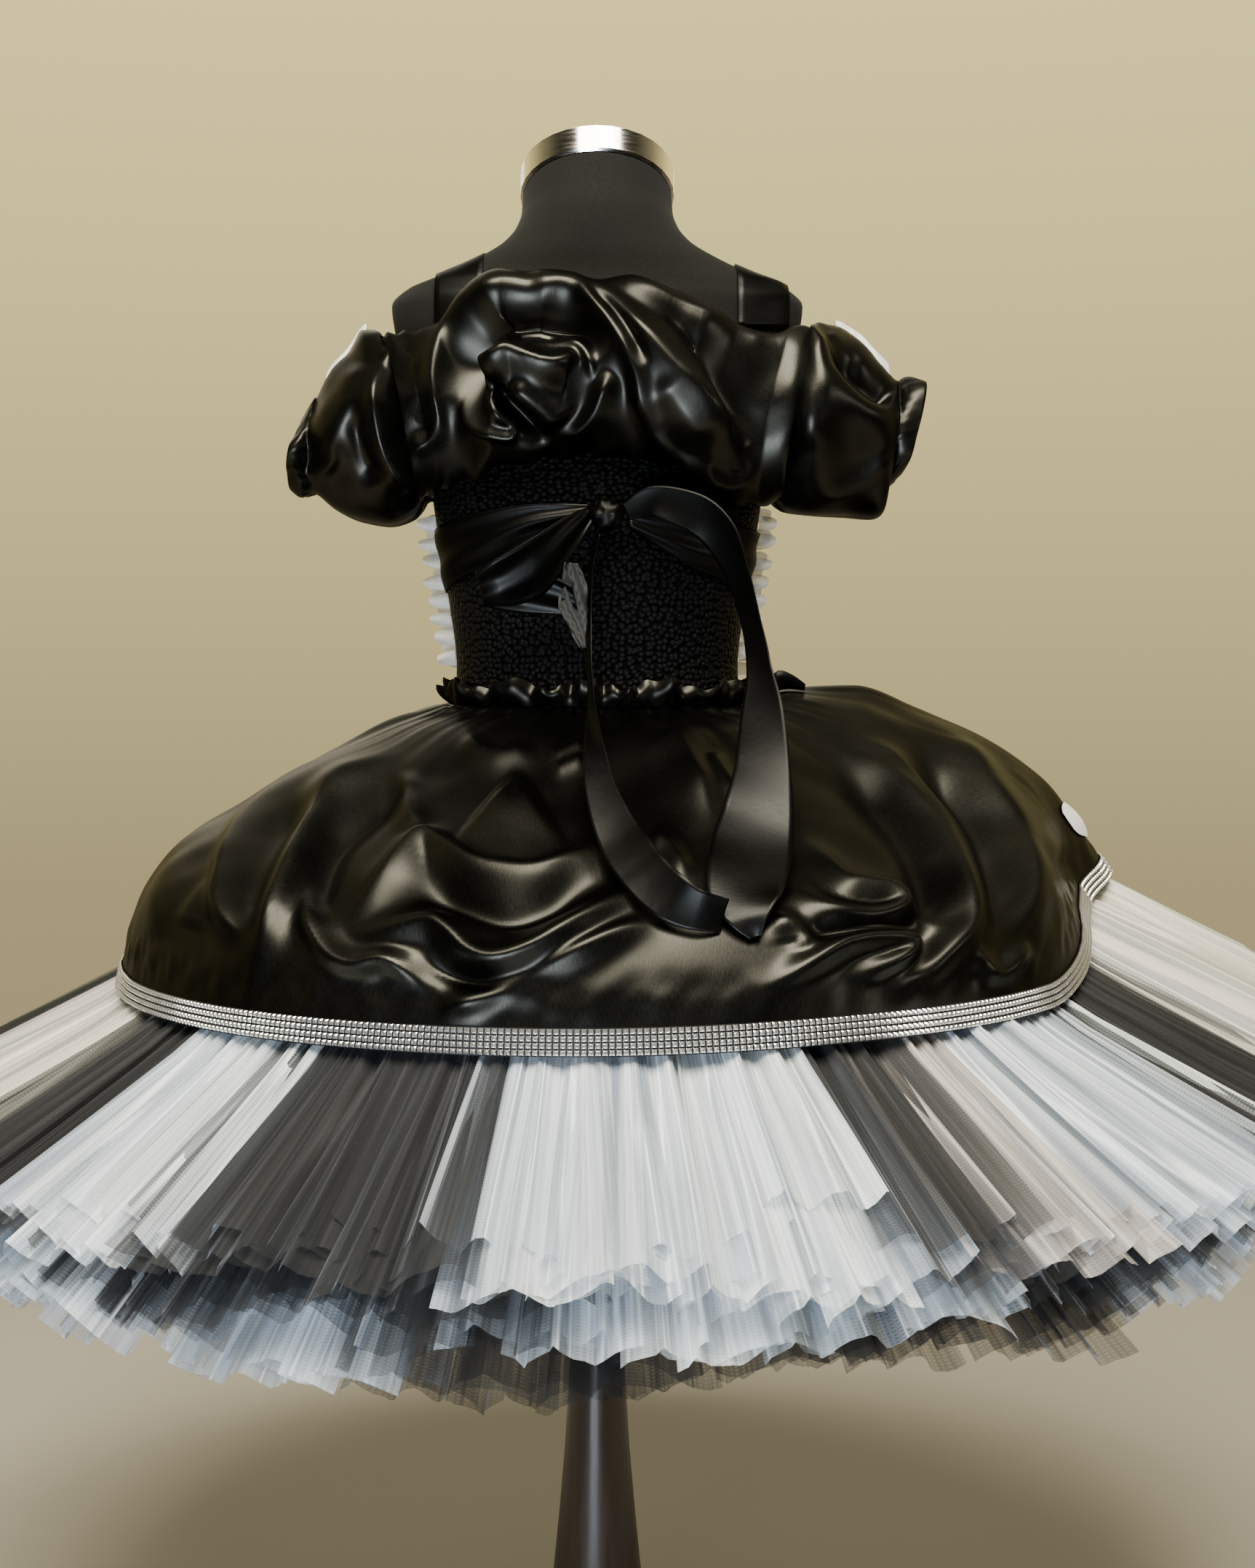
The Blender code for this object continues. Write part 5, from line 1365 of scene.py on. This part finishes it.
def strand_grid(table, steps, across_steps, upright=None, curl=0.0):
    """Ribbon through points seen from behind, turned about its length or with its width one way."""
    share = np.linspace(0, 1, steps)
    here, ahead, behind = [row_along(table, np.clip(share + d, 0, 1)) for d in (0, 0.02, -0.02)]
    middle = at_depth(here.across, here.up, here.depth)
    along = at_depth(ahead.across, ahead.up, ahead.depth) - at_depth(behind.across, behind.up, behind.depth)
    along /= length_of(along)
    flat = np.cross(np.array([0.0, 1.0, 0.0]), along)
    flat /= length_of(flat)
    deep = np.cross(along, flat)
    turn = np.radians(here.turn)[:, None]
    wide = flat * np.cos(turn) + deep * np.sin(turn)
    if upright is not None:
        wide = np.broadcast_to(upright, flat.shape)
    normal = np.cross(along, wide)
    side = np.linspace(-1, 1, across_steps)[:, None, None]
    return middle + 0.001 * side * here.half_width[:, None] * wide + normal * curl * (side**2 - 0.4)


def ways_over(grid):
    """How far across a ribbon its points lie, from -1 to 1, and what share along it."""
    rows, columns = grid.shape[:2]
    return np.linspace(-1, 1, rows)[:, None], np.linspace(0, 1, columns)[None, :]


def kept_off(grid, skirt, off):
    """Ribbon moved towards the eye behind, evenly across it and softly along it, to clear the overskirt."""
    eye = Vector((0, EYE_REACH, WAIST_HEIGHT))
    bpy.context.view_layer.update()
    needed = np.zeros(grid.shape[1])
    for c in range(grid.shape[1]):
        for r in range(grid.shape[0]):
            aim = Vector(grid[r, c]) - eye
            found, hit, _, _ = skirt.ray_cast(eye, aim.normalized())
            if found:
                needed[c] = max(needed[c], aim.length + off - (hit - eye).length)
    reach = 7
    wide = np.pad(needed, reach, mode="edge")
    highest = np.max([wide[i:i + len(needed)] for i in range(2 * reach + 1)], axis=0)
    wide = np.pad(highest, reach, mode="edge")
    moved = np.mean([wide[i:i + len(needed)] for i in range(2 * reach + 1)], axis=0)
    aims = np.array(eye) - grid
    return grid + aims / length_of(aims) * moved[None, :, None]


def make_ribbons(skirt):
    """Ribbon round the body, knot, bow and the long loop on the skirt."""
    share = np.linspace(0, 1, 260)
    first, last = WAIST_RIBBON[0].azimuth, WAIST_RIBBON[-1].azimuth
    band = row_at(WAIST_RIBBON, first + (last - first) * share)
    side = np.linspace(-1, 1, WIDTH_STEPS)[:, None]
    near_knot = np.exp(-((np.minimum(share, 1 - share) / 0.24) ** 2))
    crease = 0.0017 * np.sin(5.5 * side + 0.05 * band.azimuth) * near_knot
    grid = body_point(band.azimuth, band.height + side * band.half_width,
                      BODICE_OUT + band.out + 0.0012 + np.maximum(crease, -0.0008))
    cloth("waist_satin", [grid], RIBBON_LOOK, ["waist_ribbon"], inside=(0, 0, 0.77),
          thickness=RIBBON_THICK)

    bpy.ops.mesh.primitive_uv_sphere_add(segments=40, ring_count=24, radius=1.0, location=KNOT_MIDDLE)
    knot = bpy.context.object
    knot.name = "knot_satin"
    for v in knot.data.vertices:
        turn = math.atan2(v.co.z, v.co.x)
        pleat = 1 + 0.07 * math.sin(5 * turn + 3 * v.co.y) + 0.05 * math.sin(11 * v.co.x + 4 * v.co.z)
        v.co = Vector((v.co.x * KNOT_RADII[0], v.co.y * KNOT_RADII[1], v.co.z * KNOT_RADII[2])) * pleat
    knot.data.shade_smooth()
    knot.data.materials.append(RIBBON_LOOK)
    knot.data.uv_layers[0].name = "cloth"
    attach(knot, "root")
    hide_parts("ribbon_knot")

    bow = strand_grid(BOW_LOOP, 110, WIDTH_STEPS, upright=(0.20, 0.42, 0.88))
    across, share = ways_over(bow)
    bow[..., 1] += 0.0012 * np.sin(5 * across + 9 * share)
    # the tail wears the lighter reverse, partly a painted highlight on the turned ribbon
    tail = strand_grid(BOW_TAIL, 60, 11, upright=(0.97, 0.2, 0.1))
    across, share = ways_over(tail)
    tail[..., 1] += 0.0016 * np.sin(7 * across + 13 * share) + 0.0008 * np.sin(15 * across - 29 * share)
    cloth("bow_tail", [tail], REVERSE_AND_HIGHLIGHT_LOOK, thickness=0.0005)
    cloth("bow_satin", [bow], RIBBON_LOOK, ["bow_loop"], inside=(0.02, 0, 0.74), thickness=RIBBON_THICK)
    for name, table, cut, off in (("right", LOOP_RIGHT, (0.026, 0.36), 0.0044),
                                  ("left", LOOP_LEFT, (0.016, 0.35), 0.0018)):
        strand = kept_off(strand_grid(table, 170, WIDTH_STEPS, curl=STRAND_CURL), skirt, off)
        cloth(f"strand_{name}", [strand], RIBBON_LOOK, [f"loop_{name}"], thickness=RIBBON_THICK)


TIP_ENDS = (-0.108, -0.134)
TIP_RISES = ([0, 4, 9, 13], [0.003, 0.013, 0.009, 0.004])
PATCH_AZIMUTH, PATCH_HALF_ANGLE = -99.0, 2.6
PATCH_HEIGHT, PATCH_HALF_HEIGHT = 0.5985, 0.0115


def make_small_pieces(skirt):
    """Ribbon end at the wearer's right of the waist, and the white piece on the skirt."""
    foot, tip = [], []
    steps = 14
    rises = through(*TIP_RISES, range(steps))
    for across, rise in zip(np.linspace(*TIP_ENDS, steps), rises):
        _, hit, _, _ = skirt.ray_cast(Vector((across, -0.012, 0.80)), Vector((0, 0, -1)))
        foot.append(np.array(hit) + np.array([0, 0, 0.0008]))
        tip.append(foot[-1] + np.array([0, 0.004, rise]))
    cloth("ribbon_tip", [np.array([foot, tip])], RIBBON_LOOK, ["ribbon_end"], thickness=RIBBON_THICK)
    rows = []
    for j in np.linspace(-1, 1, 11):
        azimuth = math.radians(PATCH_AZIMUTH + PATCH_HALF_ANGLE * j)
        aim = Vector((-math.sin(azimuth), -math.cos(azimuth), 0))
        row = []
        for i in np.linspace(-1, 1, 15):
            height = PATCH_HEIGHT + PATCH_HALF_HEIGHT * i * math.sqrt(1 - 0.75 * j * j)
            _, hit, _, _ = skirt.ray_cast(Vector((0, 0, height)) - aim * 0.6, aim)
            off = 0.0016 + 0.0040 * (1 - i * i) * (1 - j * j)
            row.append(np.array(hit - aim * off))
        rows.append(row)
    cloth("skirt_strip", [np.array(rows)], STRIP_LOOK, ["skirt_edging"])


set_stage()
make_form()
make_bodice()
skirt = make_overskirt()
make_tulle()
make_shoulders()
make_ribbons(skirt)
make_small_pieces(skirt)
